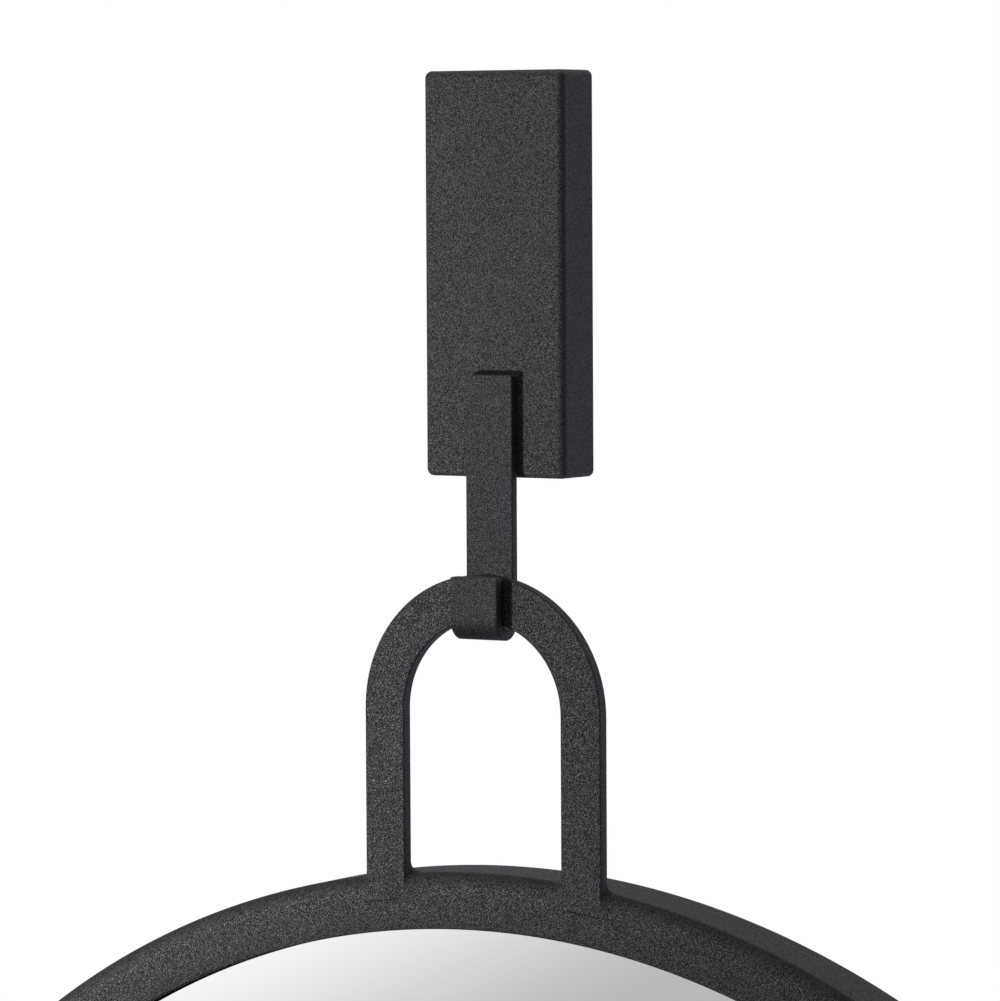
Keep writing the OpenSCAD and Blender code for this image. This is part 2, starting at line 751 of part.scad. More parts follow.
// Round-head screw with a cross recess. Z = 0 is the seat under its head.
module board_screw(grip) {
    dome_r = (pow(board_head_r, 2) + pow(board_head_h, 2)) / (2 * board_head_h);
    difference() {
        union() {
            cylinder(r = board_screw_r, h = grip + board_screw_bite);
            intersection() {
                translate([0, 0, -board_head_h + dome_r]) sphere(dome_r);
                translate([0, 0, -board_head_h]) cylinder(r = board_head_r, h = board_head_h);
            }
        }
        for (a = [0, 90])
            rotate([0, 0, a]) translate([-cross_len / 2, -cross_w / 2, -board_head_h - cut])
                cube([cross_len, cross_w, cross_deep + cut]);
    }
}

module tab_screws() {
    color(zinc) on_oval() at_tabs()
        translate([-tab_screw_inset, 0, -board_back - tab_t]) board_screw(tab_t);
}

// Rubber feet that keep the frame off the wall
module wall_bumpers() {
    color(rubber_black) on_oval() at_bumpers() translate([0, 0, -board_back - bumper_h])
        difference() {
            cylinder(r1 = bumper_tip_r, r2 = bumper_base_r, h = bumper_h);
            translate([0, 0, -cut])
                cylinder(r = bumper_hollow_r, h = bumper_h - bumper_floor + cut);
            translate([0, 0, -cut])
                cylinder(r = board_screw_r + stud_clear, h = bumper_h + 2 * cut);
        }
}

module bumper_washers() {
    color(zinc) on_oval() at_bumpers()
        translate([0, 0, -board_back - bumper_floor - washer_t]) difference() {
            cylinder(r = bumper_washer_r, h = washer_t);
            translate([0, 0, -cut]) cylinder(r = board_screw_r + stud_clear, h = washer_t + 2 * cut);
        }
}

module bumper_screws() {
    color(zinc) on_oval() at_bumpers()
        translate([0, 0, -board_back - bumper_floor - washer_t])
            board_screw(bumper_floor + washer_t);
}

wall_plate();
bracket_cover();
strap_hook();
hook_studs();
hook_doubler();
stud_washers();
stud_nuts();
weld_nuts();
cover_screws();
hook_cradle();
hanging_loop();
loop_welds();
oval_frame();
glazing_strip();
mirror_glass();
glass_blocks();
adhesive_pads();
backing_board();
retaining_tabs();
tab_screws();
wall_bumpers();
bumper_washers();
bumper_screws();
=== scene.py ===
"""Looks for an oval wall mirror that hangs by a flat-bar loop on a strap hook.

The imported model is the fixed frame. Its nodes get their finishes here, and the
oval frame, the hanging loop, the mirror pane, the screws and the weld beads are
built anew and stand for their nodes. Axes: +X right, +Y into the wall, +Z up,
in metres.
"""

import json
import logging
import math
from collections.abc import Sequence
from dataclasses import dataclass, field
from enum import Enum
from functools import reduce

import bmesh
import bpy
from mathutils import Matrix, Vector

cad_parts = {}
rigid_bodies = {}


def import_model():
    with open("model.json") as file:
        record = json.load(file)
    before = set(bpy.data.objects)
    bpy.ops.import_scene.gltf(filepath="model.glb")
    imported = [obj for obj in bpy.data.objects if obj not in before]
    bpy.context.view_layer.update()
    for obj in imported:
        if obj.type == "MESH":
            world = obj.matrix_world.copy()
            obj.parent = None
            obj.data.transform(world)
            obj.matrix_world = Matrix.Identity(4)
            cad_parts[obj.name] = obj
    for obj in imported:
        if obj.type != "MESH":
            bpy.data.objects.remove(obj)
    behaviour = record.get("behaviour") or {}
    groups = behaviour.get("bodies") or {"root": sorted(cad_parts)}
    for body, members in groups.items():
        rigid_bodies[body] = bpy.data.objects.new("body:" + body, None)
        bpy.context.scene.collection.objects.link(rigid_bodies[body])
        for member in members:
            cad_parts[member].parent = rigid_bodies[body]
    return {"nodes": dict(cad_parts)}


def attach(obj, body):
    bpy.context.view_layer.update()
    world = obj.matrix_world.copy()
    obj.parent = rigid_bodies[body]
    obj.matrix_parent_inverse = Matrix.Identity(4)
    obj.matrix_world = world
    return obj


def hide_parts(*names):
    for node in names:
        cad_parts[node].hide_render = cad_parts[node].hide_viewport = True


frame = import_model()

MM = 0.001
LOG = logging.getLogger("oval_mirror")
NUMBER = "NodeSocketFloat"
VECTOR = "NodeSocketVector"
GEOMETRY = "NodeSocketGeometry"

Pair = tuple[float, float]
Point = tuple[float, float, float]
Colour = Point
Place = Point | Vector
Edge = tuple[int, int]
Socket = bpy.types.NodeSocket
Source = Socket | bpy.types.Material | float | tuple[float, ...]
Inputs = dict[str | int, Source]


class Body(Enum):
    """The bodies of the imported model, which the pieces ride on."""

    BRACKET = "wall_bracket"
    CRADLE = "cradle"
    MIRROR = "mirror"


class Slot(Enum):
    """The names of the record's material slots."""

    COAT = "black_coat"
    STEEL = "zinc_steel"
    MIRROR = "mirror"


# Node wiring


class Wiring:
    """Adds nodes to a shader or geometry tree and joins their sockets."""

    def __init__(self, tree: bpy.types.NodeTree) -> None:
        """Keeps the shader or geometry tree that the nodes go into."""
        self.tree = tree

    def feed(self, socket: Socket, source: Source) -> None:
        """Joins a socket to another, or sets a plain value on it.

        Args:
            socket: The input socket.
            source: An output socket or a plain value.
        """
        if isinstance(source, Socket):
            self.tree.links.new(source, socket)
        else:
            socket.default_value = source

    def node(self, kind: str, inputs: Inputs | None = None, **settings: object) -> bpy.types.Node:
        """Adds one node.

        Args:
            kind: The node's type name.
            inputs: What its input sockets get, by name or number.
            settings: Values for the node's own properties.

        Returns:
            The new node.
        """
        made = self.tree.nodes.new(kind)
        for name, value in settings.items():
            setattr(made, name, value)
        for socket, source in (inputs or {}).items():
            self.feed(made.inputs[socket], source)
        return made

    def result(self, kind: str, inputs: Inputs | None = None, **settings: object) -> Socket:
        """Adds one node and returns its first output."""
        return self.node(kind, inputs, **settings).outputs[0]

    def calc(
        self, operation: str, first: Source, second: Source = 0.0, clamp: bool = False
    ) -> Socket:
        """Returns a maths node's result, held between 0 and 1 where it is clamped."""
        numbers = {0: first, 1: second}
        return self.result("ShaderNodeMath", numbers, operation=operation, use_clamp=clamp)

    def times(self, *factors: Source) -> Socket:
        """Returns the product of several numbers."""
        return reduce(lambda first, second: self.calc("MULTIPLY", first, second), factors)

    def plus(self, *terms: Source) -> Socket:
        """Returns the sum of several numbers."""
        return reduce(lambda first, second: self.calc("ADD", first, second), terms)

    def parts(self, vector: Source) -> tuple[Socket, Socket, Socket]:
        """Returns a vector's three numbers."""
        return tuple(self.node("ShaderNodeSeparateXYZ", {0: vector}).outputs)

    def multiplied(self, first: Source, second: Source) -> Socket:
        """Returns two vectors multiplied number by number."""
        return self.result("ShaderNodeVectorMath", {0: first, 1: second}, operation="MULTIPLY")

    def scaled(self, colour: Source, factor: Source) -> Socket:
        """Returns a colour multiplied by a number."""
        return self.result("ShaderNodeVectorMath", {0: colour, "Scale": factor}, operation="SCALE")

    def remap(
        self,
        value: Source,
        low: float,
        high: float,
        to_low: Source = 0.0,
        to_high: Source = 1.0,
        smooth: bool = False,
    ) -> Socket:
        """Maps one range of numbers to another, held inside it.

        Args:
            value: The number to map.
            low: Where the source range starts.
            high: Where the source range ends.
            to_low: The result at the start.
            to_high: The result at the end.
            smooth: Whether the change eases in and out.

        Returns:
            The mapped number's socket.
        """
        ends = {"From Min": low, "From Max": high, "To Min": to_low, "To Max": to_high}
        easing = "SMOOTHSTEP" if smooth else "LINEAR"
        return self.result(
            "ShaderNodeMapRange", {"Value": value, **ends}, interpolation_type=easing
        )

    def blend(self, factor: Source, first: Source, second: Source) -> Socket:
        """Returns a mix of two colours, from the first at 0 to the second at 1."""
        inputs = {0: factor, 6: opaque(first), 7: opaque(second)}
        return self.node("ShaderNodeMix", inputs, data_type="RGBA").outputs[2]

    def noise(self, vector: Source, scale: Source, detail: float, roughness: float) -> Socket:
        """Returns a noise value, with finer layers by number (detail) and strength (roughness)."""
        inputs = {"Vector": vector, "Scale": scale, "Detail": detail, "Roughness": roughness}
        return self.result("ShaderNodeTexNoise", inputs)

    def cells(self, vector: Source, scale: Source, output: str = "Distance") -> Socket:
        """Returns the wanted output of a cell texture."""
        inputs = {"Vector": vector, "Scale": scale}
        return self.node("ShaderNodeTexVoronoi", inputs).outputs[output]

    def place(self, kind: str = "Object") -> Socket:
        """Returns the piece's own object coordinates, unless others are named."""
        return self.node("ShaderNodeTexCoord").outputs[kind]


def opaque(colour: Source) -> Source:
    """Returns a plain colour with its alpha, or the socket as it is."""
    return colour if isinstance(colour, Socket) else (*colour, 1.0)


# Shared effects


class SharedEffect:
    """A shader node group that several finishes use, built once."""

    def __init__(self, name: str, inputs: dict[str, float | None], *outputs: str) -> None:
        """Makes the group with its sockets.

        Args:
            name: The group's name.
            inputs: Each input's name and usual value, with None for a vector.
            outputs: The outputs' names.
        """
        self.tree = bpy.data.node_groups.new(name, "ShaderNodeTree")
        for label, value in inputs.items():
            kind = VECTOR if value is None else NUMBER
            socket = self.tree.interface.new_socket(label, in_out="INPUT", socket_type=kind)
            if value is not None:
                socket.default_value = value
        for label in outputs:
            self.tree.interface.new_socket(label, in_out="OUTPUT", socket_type=NUMBER)
        self.wire = Wiring(self.tree)
        self.given = self.wire.node("NodeGroupInput").outputs

    def close(self, **results: Socket) -> bpy.types.NodeTree:
        """Feeds the group's outputs and returns its tree."""
        self.wire.node("NodeGroupOutput", results)
        return self.tree


def sand_grain() -> bpy.types.NodeTree:
    """Builds the fine sand texture of a powder coat.

    Returns:
        The group's tree, with the outputs Fleck and Height.
    """
    off_the_axes = (0.5, 0.7, 0.3)
    coarser = 0.45
    hollow, peak = 0.30, 0.70
    sharpness = 1.25
    inputs = {"Vector": None, "Grains": 1000.0, "Clumps": 0.3}
    effect = SharedEffect("sand_grain", inputs, "Fleck", "Height")
    wire, given = effect.wire, effect.given
    turn = {"Vector": given["Vector"], "Rotation": off_the_axes}
    turned = wire.result("ShaderNodeVectorRotate", turn, rotation_type="EULER_XYZ")
    fine = wire.noise(turned, given["Grains"], detail=0.0, roughness=0.5)
    broad = wire.noise(turned, wire.times(given["Grains"], coarser), detail=1.0, roughness=0.5)
    layers = {0: given["Clumps"], 2: fine, 3: broad}
    mixed = wire.result("ShaderNodeMix", layers, data_type="FLOAT")
    raised = wire.remap(mixed, hollow, peak)
    return effect.close(Fleck=wire.calc("POWER", raised, sharpness), Height=raised)


def tone_drift() -> bpy.types.NodeTree:
    """Builds a slow change of tone over a surface.

    Returns:
        The group's tree, with the output Factor, around 1.
    """
    dark, light = 0.25, 0.75
    effect = SharedEffect("tone_drift", {"Vector": None, "Scale": 20.0, "Amount": 0.05}, "Factor")
    wire, given = effect.wire, effect.given
    slow = wire.noise(given["Vector"], given["Scale"], detail=3.0, roughness=0.55)
    low, high = wire.calc("SUBTRACT", 1.0, given["Amount"]), wire.plus(1.0, given["Amount"])
    return effect.close(Factor=wire.remap(slow, dark, light, low, high))


def drawn_lines() -> bpy.types.NodeTree:
    """Builds fine lines that run one way, as on drawn or brushed metal.

    Returns:
        The group's tree, with the outputs Line and Height.
    """
    dark, light = 0.3, 0.7
    inputs = {"Vector": None, "Stretch": None, "Scale": 900.0}
    effect = SharedEffect("drawn_lines", inputs, "Line", "Height")
    wire, given = effect.wire, effect.given
    run = wire.multiplied(given["Vector"], given["Stretch"])
    line = wire.noise(run, given["Scale"], detail=2.0, roughness=0.6)
    return effect.close(Line=wire.remap(line, dark, light), Height=line)


@dataclass(frozen=True)
class Effects:
    """The shared groups, each built once."""

    grain: bpy.types.NodeTree = field(default_factory=sand_grain)
    drift: bpy.types.NodeTree = field(default_factory=tone_drift)
    lines: bpy.types.NodeTree = field(default_factory=drawn_lines)


# Finishes


class Surface:
    """One new material, with its shader, its wiring and the shared groups."""

    def __init__(self, name: str, effects: Effects) -> None:
        """Makes the material.

        Args:
            name: The material's name.
            effects: The shared groups.
        """
        self.material = bpy.data.materials.new(name)
        self.material.use_nodes = True
        self.sockets = self.material.node_tree.nodes["Principled BSDF"].inputs
        self.wire = Wiring(self.material.node_tree)
        self.place = self.wire.place()
        self.effects = effects

    def group(self, tree: bpy.types.NodeTree, **values: Source) -> dict[str, Socket]:
        """Returns the outputs of a shared group that is placed on the surface."""
        node = self.wire.node("ShaderNodeGroup", {"Vector": self.place, **values}, node_tree=tree)
        return {socket.name: socket for socket in node.outputs}

    def grain(self, grains: float, clumps: float) -> dict[str, Socket]:
        """Returns the outputs Fleck and Height of a sand grain."""
        return self.group(self.effects.grain, Grains=grains, Clumps=clumps)

    def lines(self, stretch: Point, scale: float) -> dict[str, Socket]:
        """Returns the outputs Line and Height of drawn lines."""
        return self.group(self.effects.lines, Stretch=stretch, Scale=scale)

    def drift(self, scale: float, amount: float) -> Socket:
        """Returns a slow change of tone, around 1."""
        return self.group(self.effects.drift, Scale=scale, Amount=amount)["Factor"]

    def colour(self, colour: Source, tone: Source | None = None) -> None:
        """Sets the base colour, multiplied by a change of tone where there is one."""
        toned = colour if tone is None else self.wire.scaled(colour, tone)
        self.wire.feed(self.sockets["Base Color"], toned)

    def roughness(self, value: Socket, low: float, high: float, full: float = 1.0) -> None:
        """Makes the roughness follow a number, from low at 0 to high at full."""
        followed = self.wire.remap(value, 0.0, full, low, high)
        self.wire.feed(self.sockets["Roughness"], followed)

    def relief(self, height: Socket, depth: float, strength: float) -> None:
        """Gives the surface a bump, with its depth in metres and how much of it shows."""
        inputs = {"Strength": strength, "Distance": depth, "Height": height}
        self.wire.feed(self.sockets["Normal"], self.wire.result("ShaderNodeBump", inputs))

    def plain(self, **values: float) -> None:
        """Sets what is the same all over, with an underscore for each space of a socket's name."""
        for name, value in values.items():
            self.sockets[name.replace("_", " ")].default_value = value


@dataclass(frozen=True)
class Finish:
    """The base of every finish.

    A drift is the scale and the amount of a slow change of tone, a roughness runs
    from the hollows to the peaks, and a relief is the bump's depth and strength.
    """

    name: str

    def build(self, effects: Effects) -> bpy.types.Material:
        """Builds the material.

        Args:
            effects: The shared groups.

        Returns:
            The finished material.
        """
        surface = Surface(self.name, effects)
        self.paint(surface)
        return surface.material

    def paint(self, surface: Surface) -> None:
        """Wires the look, which every finish does in its own way."""
        raise NotImplementedError


@dataclass(frozen=True)
class PowderCoat(Finish):
    """Black powder coat with a fine sand texture. Its speckle is real grain, painted strongest on
    the front and back and faded on the flanks as painted shade, where the grain would catch little
    light.
    """

    name: str = "powder_coat"
    base: Colour = (0.0255, 0.0262, 0.0280)
    grains: float = 3000.0
    clumps: float = 0.2
    mean_fleck: float = 0.42
    contrast: float = 3.7
    shaded_flank_contrast: float = 0.7
    shade_to_lit_facing: Pair = (0.5, 0.95)
    darkest: float = 0.15
    drift: Pair = (22.0, 0.04)
    roughness: Pair = (0.90, 0.42)
    relief: Pair = (0.10 * MM, 0.6)
    specular: float = 0.5

    def paint(self, surface: Surface) -> None:
        """Wires the coat's look.

        Args:
            surface: The new material's surface.
        """
        wire, grain = surface.wire, surface.grain(self.grains, self.clumps)
        # Painted shade: the speckle's contrast fades where the surface turns sideways, on the
        # flanks that lie in soft light.
        facing = wire.calc("ABSOLUTE", wire.parts(wire.place("Normal"))[1])
        contrasts = self.shaded_flank_contrast, self.contrast
        contrast = wire.remap(facing, *self.shade_to_lit_facing, *contrasts, smooth=True)
        speckle = wire.times(wire.calc("SUBTRACT", grain["Fleck"], self.mean_fleck), contrast)
        tone = wire.times(wire.plus(speckle, 1.0), surface.drift(*self.drift))
        surface.colour(self.base, wire.calc("MAXIMUM", tone, self.darkest))
        surface.roughness(grain["Fleck"], *self.roughness)
        surface.relief(grain["Height"], *self.relief)
        surface.plain(Specular_IOR_Level=self.specular)


@dataclass(frozen=True)
class ZincSteel(Finish):
    """Bright zinc plating on steel, with drawn lines and a faint spangle."""

    name: str = "zinc_steel"
    dark: Colour = (0.475, 0.465, 0.445)
    light: Colour = (0.685, 0.670, 0.640)
    stretch: Point = (1.0, 1.0, 0.06)
    line_scale: float = 1400.0
    crystals: float = 420.0
    spangle: Pair = (0.94, 1.04)
    drift: Pair = (70.0, 0.1)
    roughness: Pair = (0.46, 0.26)
    relief: Pair = (0.02 * MM, 0.3)

    def paint(self, surface: Surface) -> None:
        """Wires the plating's look.

        Args:
            surface: The new material's surface.
        """
        wire, lines = surface.wire, surface.lines(self.stretch, self.line_scale)
        crystal = wire.cells(surface.place, self.crystals, "Color")
        spangle = wire.remap(crystal, 0.0, 1.0, *self.spangle)
        tone = wire.times(surface.drift(*self.drift), spangle)
        surface.colour(wire.blend(lines["Line"], self.dark, self.light), tone)
        surface.roughness(lines["Line"], *self.roughness)
        surface.relief(lines["Height"], *self.relief)
        surface.plain(Metallic=1.0)


@dataclass(frozen=True)
class MouldedPlastic(Finish):
    """Dark moulded plastic or rubber with a fine spark-eroded skin."""

    name: str = "nylon"
    dark: Colour = (0.012, 0.012, 0.013)
    light: Colour = (0.030, 0.030, 0.032)
    grains: float = 2600.0
    clumps: float = 0.5
    drift: Pair = (120.0, 0.12)
    roughness: Pair = (0.42, 0.58)
    relief: Pair = (0.02 * MM, 0.5)

    def paint(self, surface: Surface) -> None:
        """Wires the skin's look.

        Args:
            surface: The new material's surface.
        """
        skin = surface.grain(self.grains, self.clumps)
        colour = surface.wire.blend(skin["Fleck"], self.dark, self.light)
        surface.colour(colour, surface.drift(*self.drift))
        surface.roughness(skin["Fleck"], *self.roughness)
        surface.relief(skin["Height"], *self.relief)


@dataclass(frozen=True)
class Foam(Finish):
    """Grey closed-cell foam strip and tape."""

    name: str = "foam"
    wall: Colour = (0.13, 0.13, 0.135)
    hollow: Colour = (0.055, 0.055, 0.058)
    cells: float = 1500.0
    hollow_to_wall: Pair = (0.1, 0.7)
    drift: Pair = (90.0, 0.1)
    matt: float = 0.92
    relief: Pair = (0.1 * MM, 0.7)
    specular: float = 0.2

    def paint(self, surface: Surface) -> None:
        """Wires the foam's look.

        Args:
            surface: The new material's surface.
        """
        wire = surface.wire
        cell = wire.remap(wire.cells(surface.place, self.cells), *self.hollow_to_wall)
        surface.colour(wire.blend(cell, self.hollow, self.wall), surface.drift(*self.drift))
        surface.relief(cell, *self.relief)
        surface.plain(Roughness=self.matt, Specular_IOR_Level=self.specular)


@dataclass(frozen=True)
class Hardboard(Finish):
    """Pressed fibre board with fine fibres and darker flecks."""

    name: str = "board"
    pale: Colour = (0.30, 0.195, 0.110)
    deep: Colour = (0.165, 0.100, 0.054)
    speck: Colour = (0.055, 0.034, 0.020)
    fibres: tuple[Point, float] = ((0.7, 1.0, 1.0), 1500.0)
    cross_fibres: tuple[Point, float] = ((1.0, 1.0, 0.6), 900.0)
    deep_to_pale: Pair = (0.05, 0.6)
    specks: float = 420.0
    speck_edge: Pair = (0.66, 0.74)
    speck_share: float = 0.7
    drift: Pair = (9.0, 0.035)
    roughness: Pair = (0.62, 0.82)
    relief: Pair = (0.08 * MM, 0.5)
    specular: float = 0.35

    def paint(self, surface: Surface) -> None:
        """Wires the board's look.

        Args:
            surface: The new material's surface.
        """
        wire = surface.wire
        fibre, cross = surface.lines(*self.fibres), surface.lines(*self.cross_fibres)
        strands = wire.times(fibre["Line"], cross["Line"])
        colour = wire.blend(wire.remap(strands, *self.deep_to_pale), self.deep, self.pale)
        specks = wire.noise(surface.place, self.specks, detail=2.0, roughness=0.5)
        share = wire.times(wire.remap(specks, *self.speck_edge), self.speck_share)
        surface.colour(wire.blend(share, colour, self.speck), surface.drift(*self.drift))
        surface.roughness(strands, *self.roughness, full=self.deep_to_pale[1])
        surface.relief(strands, *self.relief)
        surface.plain(Specular_IOR_Level=self.specular)


@dataclass(frozen=True)
class Silvering(Finish):
    """The silvered face of the mirror, seen through clean float glass."""

    name: str = "mirror_silver"
    tint: Colour = (0.952, 0.962, 0.957)
    drift: Pair = (9.0, 0.004)

    def paint(self, surface: Surface) -> None:
        """Wires the silver's look."""
        surface.colour(self.tint, surface.drift(*self.drift))
        surface.plain(Roughness=0.0, Metallic=1.0)


@dataclass(frozen=True)
class GlassEdge(Finish):
    """The ground, green-tinted edge of float glass."""

    name: str = "glass_edge"
    dark: Colour = (0.10, 0.19, 0.16)
    light: Colour = (0.30, 0.43, 0.38)
    grains: float = 2200.0
    clumps: float = 0.2
    roughness: Pair = (0.25, 0.5)
    relief: Pair = (0.02 * MM, 0.4)

    def paint(self, surface: Surface) -> None:
        """Wires the ground edge's look.

        Args:
            surface: The new material's surface.
        """
        ground = surface.grain(self.grains, self.clumps)
        surface.colour(surface.wire.blend(ground["Fleck"], self.dark, self.light))
        surface.roughness(ground["Fleck"], *self.roughness)
        surface.relief(ground["Height"], *self.relief)


@dataclass(frozen=True)
class BackingPaint(Finish):
    """Grey-green protective paint on the back of the silvering."""

    name: str = "backing_paint"
    dark: Colour = (0.070, 0.088, 0.086)
    light: Colour = (0.105, 0.125, 0.122)
    stretch: Point = (1.0, 1.0, 0.12)
    line_scale: float = 300.0
    drift: Pair = (10.0, 0.08)
    roughness: Pair = (0.4, 0.6)
    relief: Pair = (0.03 * MM, 0.4)

    def paint(self, surface: Surface) -> None:
        """Wires the rolled paint's look.

        Args:
            surface: The new material's surface.
        """
        rolled = surface.lines(self.stretch, self.line_scale)
        colour = surface.wire.blend(rolled["Line"], self.dark, self.light)
        surface.colour(colour, surface.drift(*self.drift))
        surface.roughness(rolled["Line"], *self.roughness)
        surface.relief(rolled["Height"], *self.relief)


class Palette:
    """Every finish of the object, as one material each."""

    def __init__(self) -> None:
        """Builds the shared groups and then the materials."""
        effects = Effects()
        self.coat = PowderCoat().build(effects)
        self.steel = ZincSteel().build(effects)
        self.nylon = MouldedPlastic().build(effects)
        self.rubber = MouldedPlastic(
            name="rubber",
            dark=(0.010, 0.010, 0.010),
            light=(0.024, 0.024, 0.024),
            grains=1800.0,
            roughness=(0.72, 0.88),
            relief=(0.04 * MM, 0.5),
        ).build(effects)
        self.foam = Foam().build(effects)
        self.board = Hardboard().build(effects)
        self.silver = Silvering().build(effects)
        self.glass_edge = GlassEdge().build(effects)
        self.paint = BackingPaint().build(effects)


# Shapes


@dataclass(frozen=True)
class Oval:
    """The four-arc oval that the frame, the glass and the board follow."""

    half_width: float = 381.0 * MM
    half_height: float = 508.0 * MM
    end_radius: float = 289.0 * MM
    centre_z: float = -695.2 * MM

    @property
    def end_offset(self) -> float:
        """Returns how far the end arcs' centres lie above and below the middle."""
        return self.half_height - self.end_radius

    @property
    def side_radius(self) -> float:
        """Returns the radius of the two side arcs."""
        square = self.end_offset**2 + self.half_width**2 - self.end_radius**2
        return square / (2 * (self.half_width - self.end_radius))

    @property
    def side_offset(self) -> float:
        """Returns how far the side arcs' centres lie beyond the middle."""
        return self.side_radius - self.half_width

    @property
    def side_sine(self) -> float:
        """Returns the sine of the angle above level at which a side arc meets an end arc."""
        return math.sin(math.atan2(self.end_offset, self.side_offset))

    def at(self, angle: float, inset: float, y: float) -> Vector:
        """Finds a point by the direction that the oval's edge faces there.

        Args:
            angle: The direction, from +X towards +Z.
            inset: How far inside the outer edge the point lies.
            y: The point's depth.

        Returns:
            The point.
        """
        out = Vector((math.cos(angle), math.sin(angle)))
        if abs(out.y) < self.side_sine:
            middle = Vector((-math.copysign(self.side_offset, out.x), 0.0))
            radius = self.side_radius
        else:
            middle = Vector((0.0, math.copysign(self.end_offset, out.y)))
            radius = self.end_radius
        flat = middle + out * (radius - inset)
        return Vector((flat.x, y, self.centre_z + flat.y))


def quarter(steps: int) -> list[float]:
    """Returns the angles that divide a quarter turn into equal steps."""
    return [math.pi / 2 * step / steps for step in range(steps + 1)]


def loft(
    shape: bmesh.types.BMesh, rings: Sequence[Sequence[Place]], slot: int = 0
) -> list[list[bmesh.types.BMVert]]:
    """Joins closed rings of points by faces.

    Args:
        shape: The shape that takes them.
        rings: The rings in order, with as many points each, or a single one at a pole.
        slot: The material slot of the faces.

    Returns:
        The rings' points in the shape.
    """
    made = [[shape.verts.new(point) for point in ring] for ring in rings]
    count = max(len(ring) for ring in made)
    for first, second in zip(made, made[1:]):
        for i in range(count):
            j = (i + 1) % count
            corners = [first[i % len(first)], first[j % len(first)]]
            corners += [second[j % len(second)], second[i % len(second)]]
            shape.faces.new(list(dict.fromkeys(corners))).material_index = slot
    return made


def add_piece(name: str, mesh: bpy.types.Mesh) -> bpy.types.Object:
    """Puts a finished mesh in the scene.

    Args:
        name: The piece's name.
        mesh: Its mesh, placed in the row's frame.

    Returns:
        The new object, at the origin.
    """
    piece = bpy.data.objects.new(name, mesh)
    bpy.context.scene.collection.objects.link(piece)
    return piece


def add_shape(
    name: str, shape: bmesh.types.BMesh, *materials: bpy.types.Material
) -> bpy.types.Object:
    """Puts a built shape in the scene.

    Args:
        name: The piece's name.
        shape: Its shape, placed in the row's frame.
        materials: Its finishes.

    Returns:
        The new object, at the origin.
    """
    mesh = bpy.data.meshes.new(name)
    shape.to_mesh(mesh)
    shape.free()
    for material in materials:
        mesh.materials.append(material)
    return add_piece(name, mesh)


def keep_result(piece: bpy.types.Object, modifier: bpy.types.Modifier) -> None:
    """Makes what a modifier has made the piece's own plain mesh.

    Args:
        piece: The piece.
        modifier: The modifier, which is taken off.
    """
    graph = bpy.context.evaluated_depsgraph_get()
    mesh = bpy.data.meshes.new_from_object(piece.evaluated_get(graph))
    mesh.name = piece.name
    piece.modifiers.remove(modifier)
    piece.data = mesh


def smooth_by_angle(mesh: bpy.types.Mesh, degrees: float) -> None:
    """Shades a mesh smooth, with sharp corners where its edges bend by more than an angle."""
    mesh.shade_smooth()
    mesh.set_sharp_from_angle(angle=math.radians(degrees))


def mend(mesh: bpy.types.Mesh, degrees: float) -> None:
    """Merges doubled points, turns a closed mesh's faces outwards and shades them.

    Args:
        mesh: The mesh to mend.
        degrees: The angle past which an edge is a corner.
    """
    doubled = 1e-7
    shape = bmesh.new()
    shape.from_mesh(mesh)
    bmesh.ops.remove_doubles(shape, verts=shape.verts, dist=doubled)
    bmesh.ops.recalc_face_normals(shape, faces=shape.faces)
    if shape.calc_volume(signed=True) < 0:
        bmesh.ops.reverse_faces(shape, faces=shape.faces)
    shape.to_mesh(mesh)
    shape.free()
    mesh.update()
    smooth_by_angle(mesh, degrees)


def finish_piece(piece: bpy.types.Object, body: Body, slot: Slot, *nodes: str) -> None:
    """Makes a piece ride on its body and stand for its nodes.

    Args:
        piece: The piece.
        body: The body that it rides on.
        slot: Not used.
        nodes: The nodes that it replaces.
    """
    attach(piece, body.value)
    if nodes:
        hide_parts(*nodes)
    LOG.info("built %s on %s, %d faces", piece.name, body.value, len(piece.data.polygons))


def dress(material: bpy.types.Material, body: Body, *nodes: str) -> None:
    """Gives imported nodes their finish.

    Args:
        material: The finish.
        body: The body that the nodes ride on.
        nodes: The nodes' names.
    """
    for node in nodes:
        piece = frame["nodes"][node]
        if not piece.material_slots:
            piece.data.materials.append(material)
        for held in piece.material_slots:
            held.material = material
        LOG.info("dressed %s on %s in %s", node, body.value, material.name)


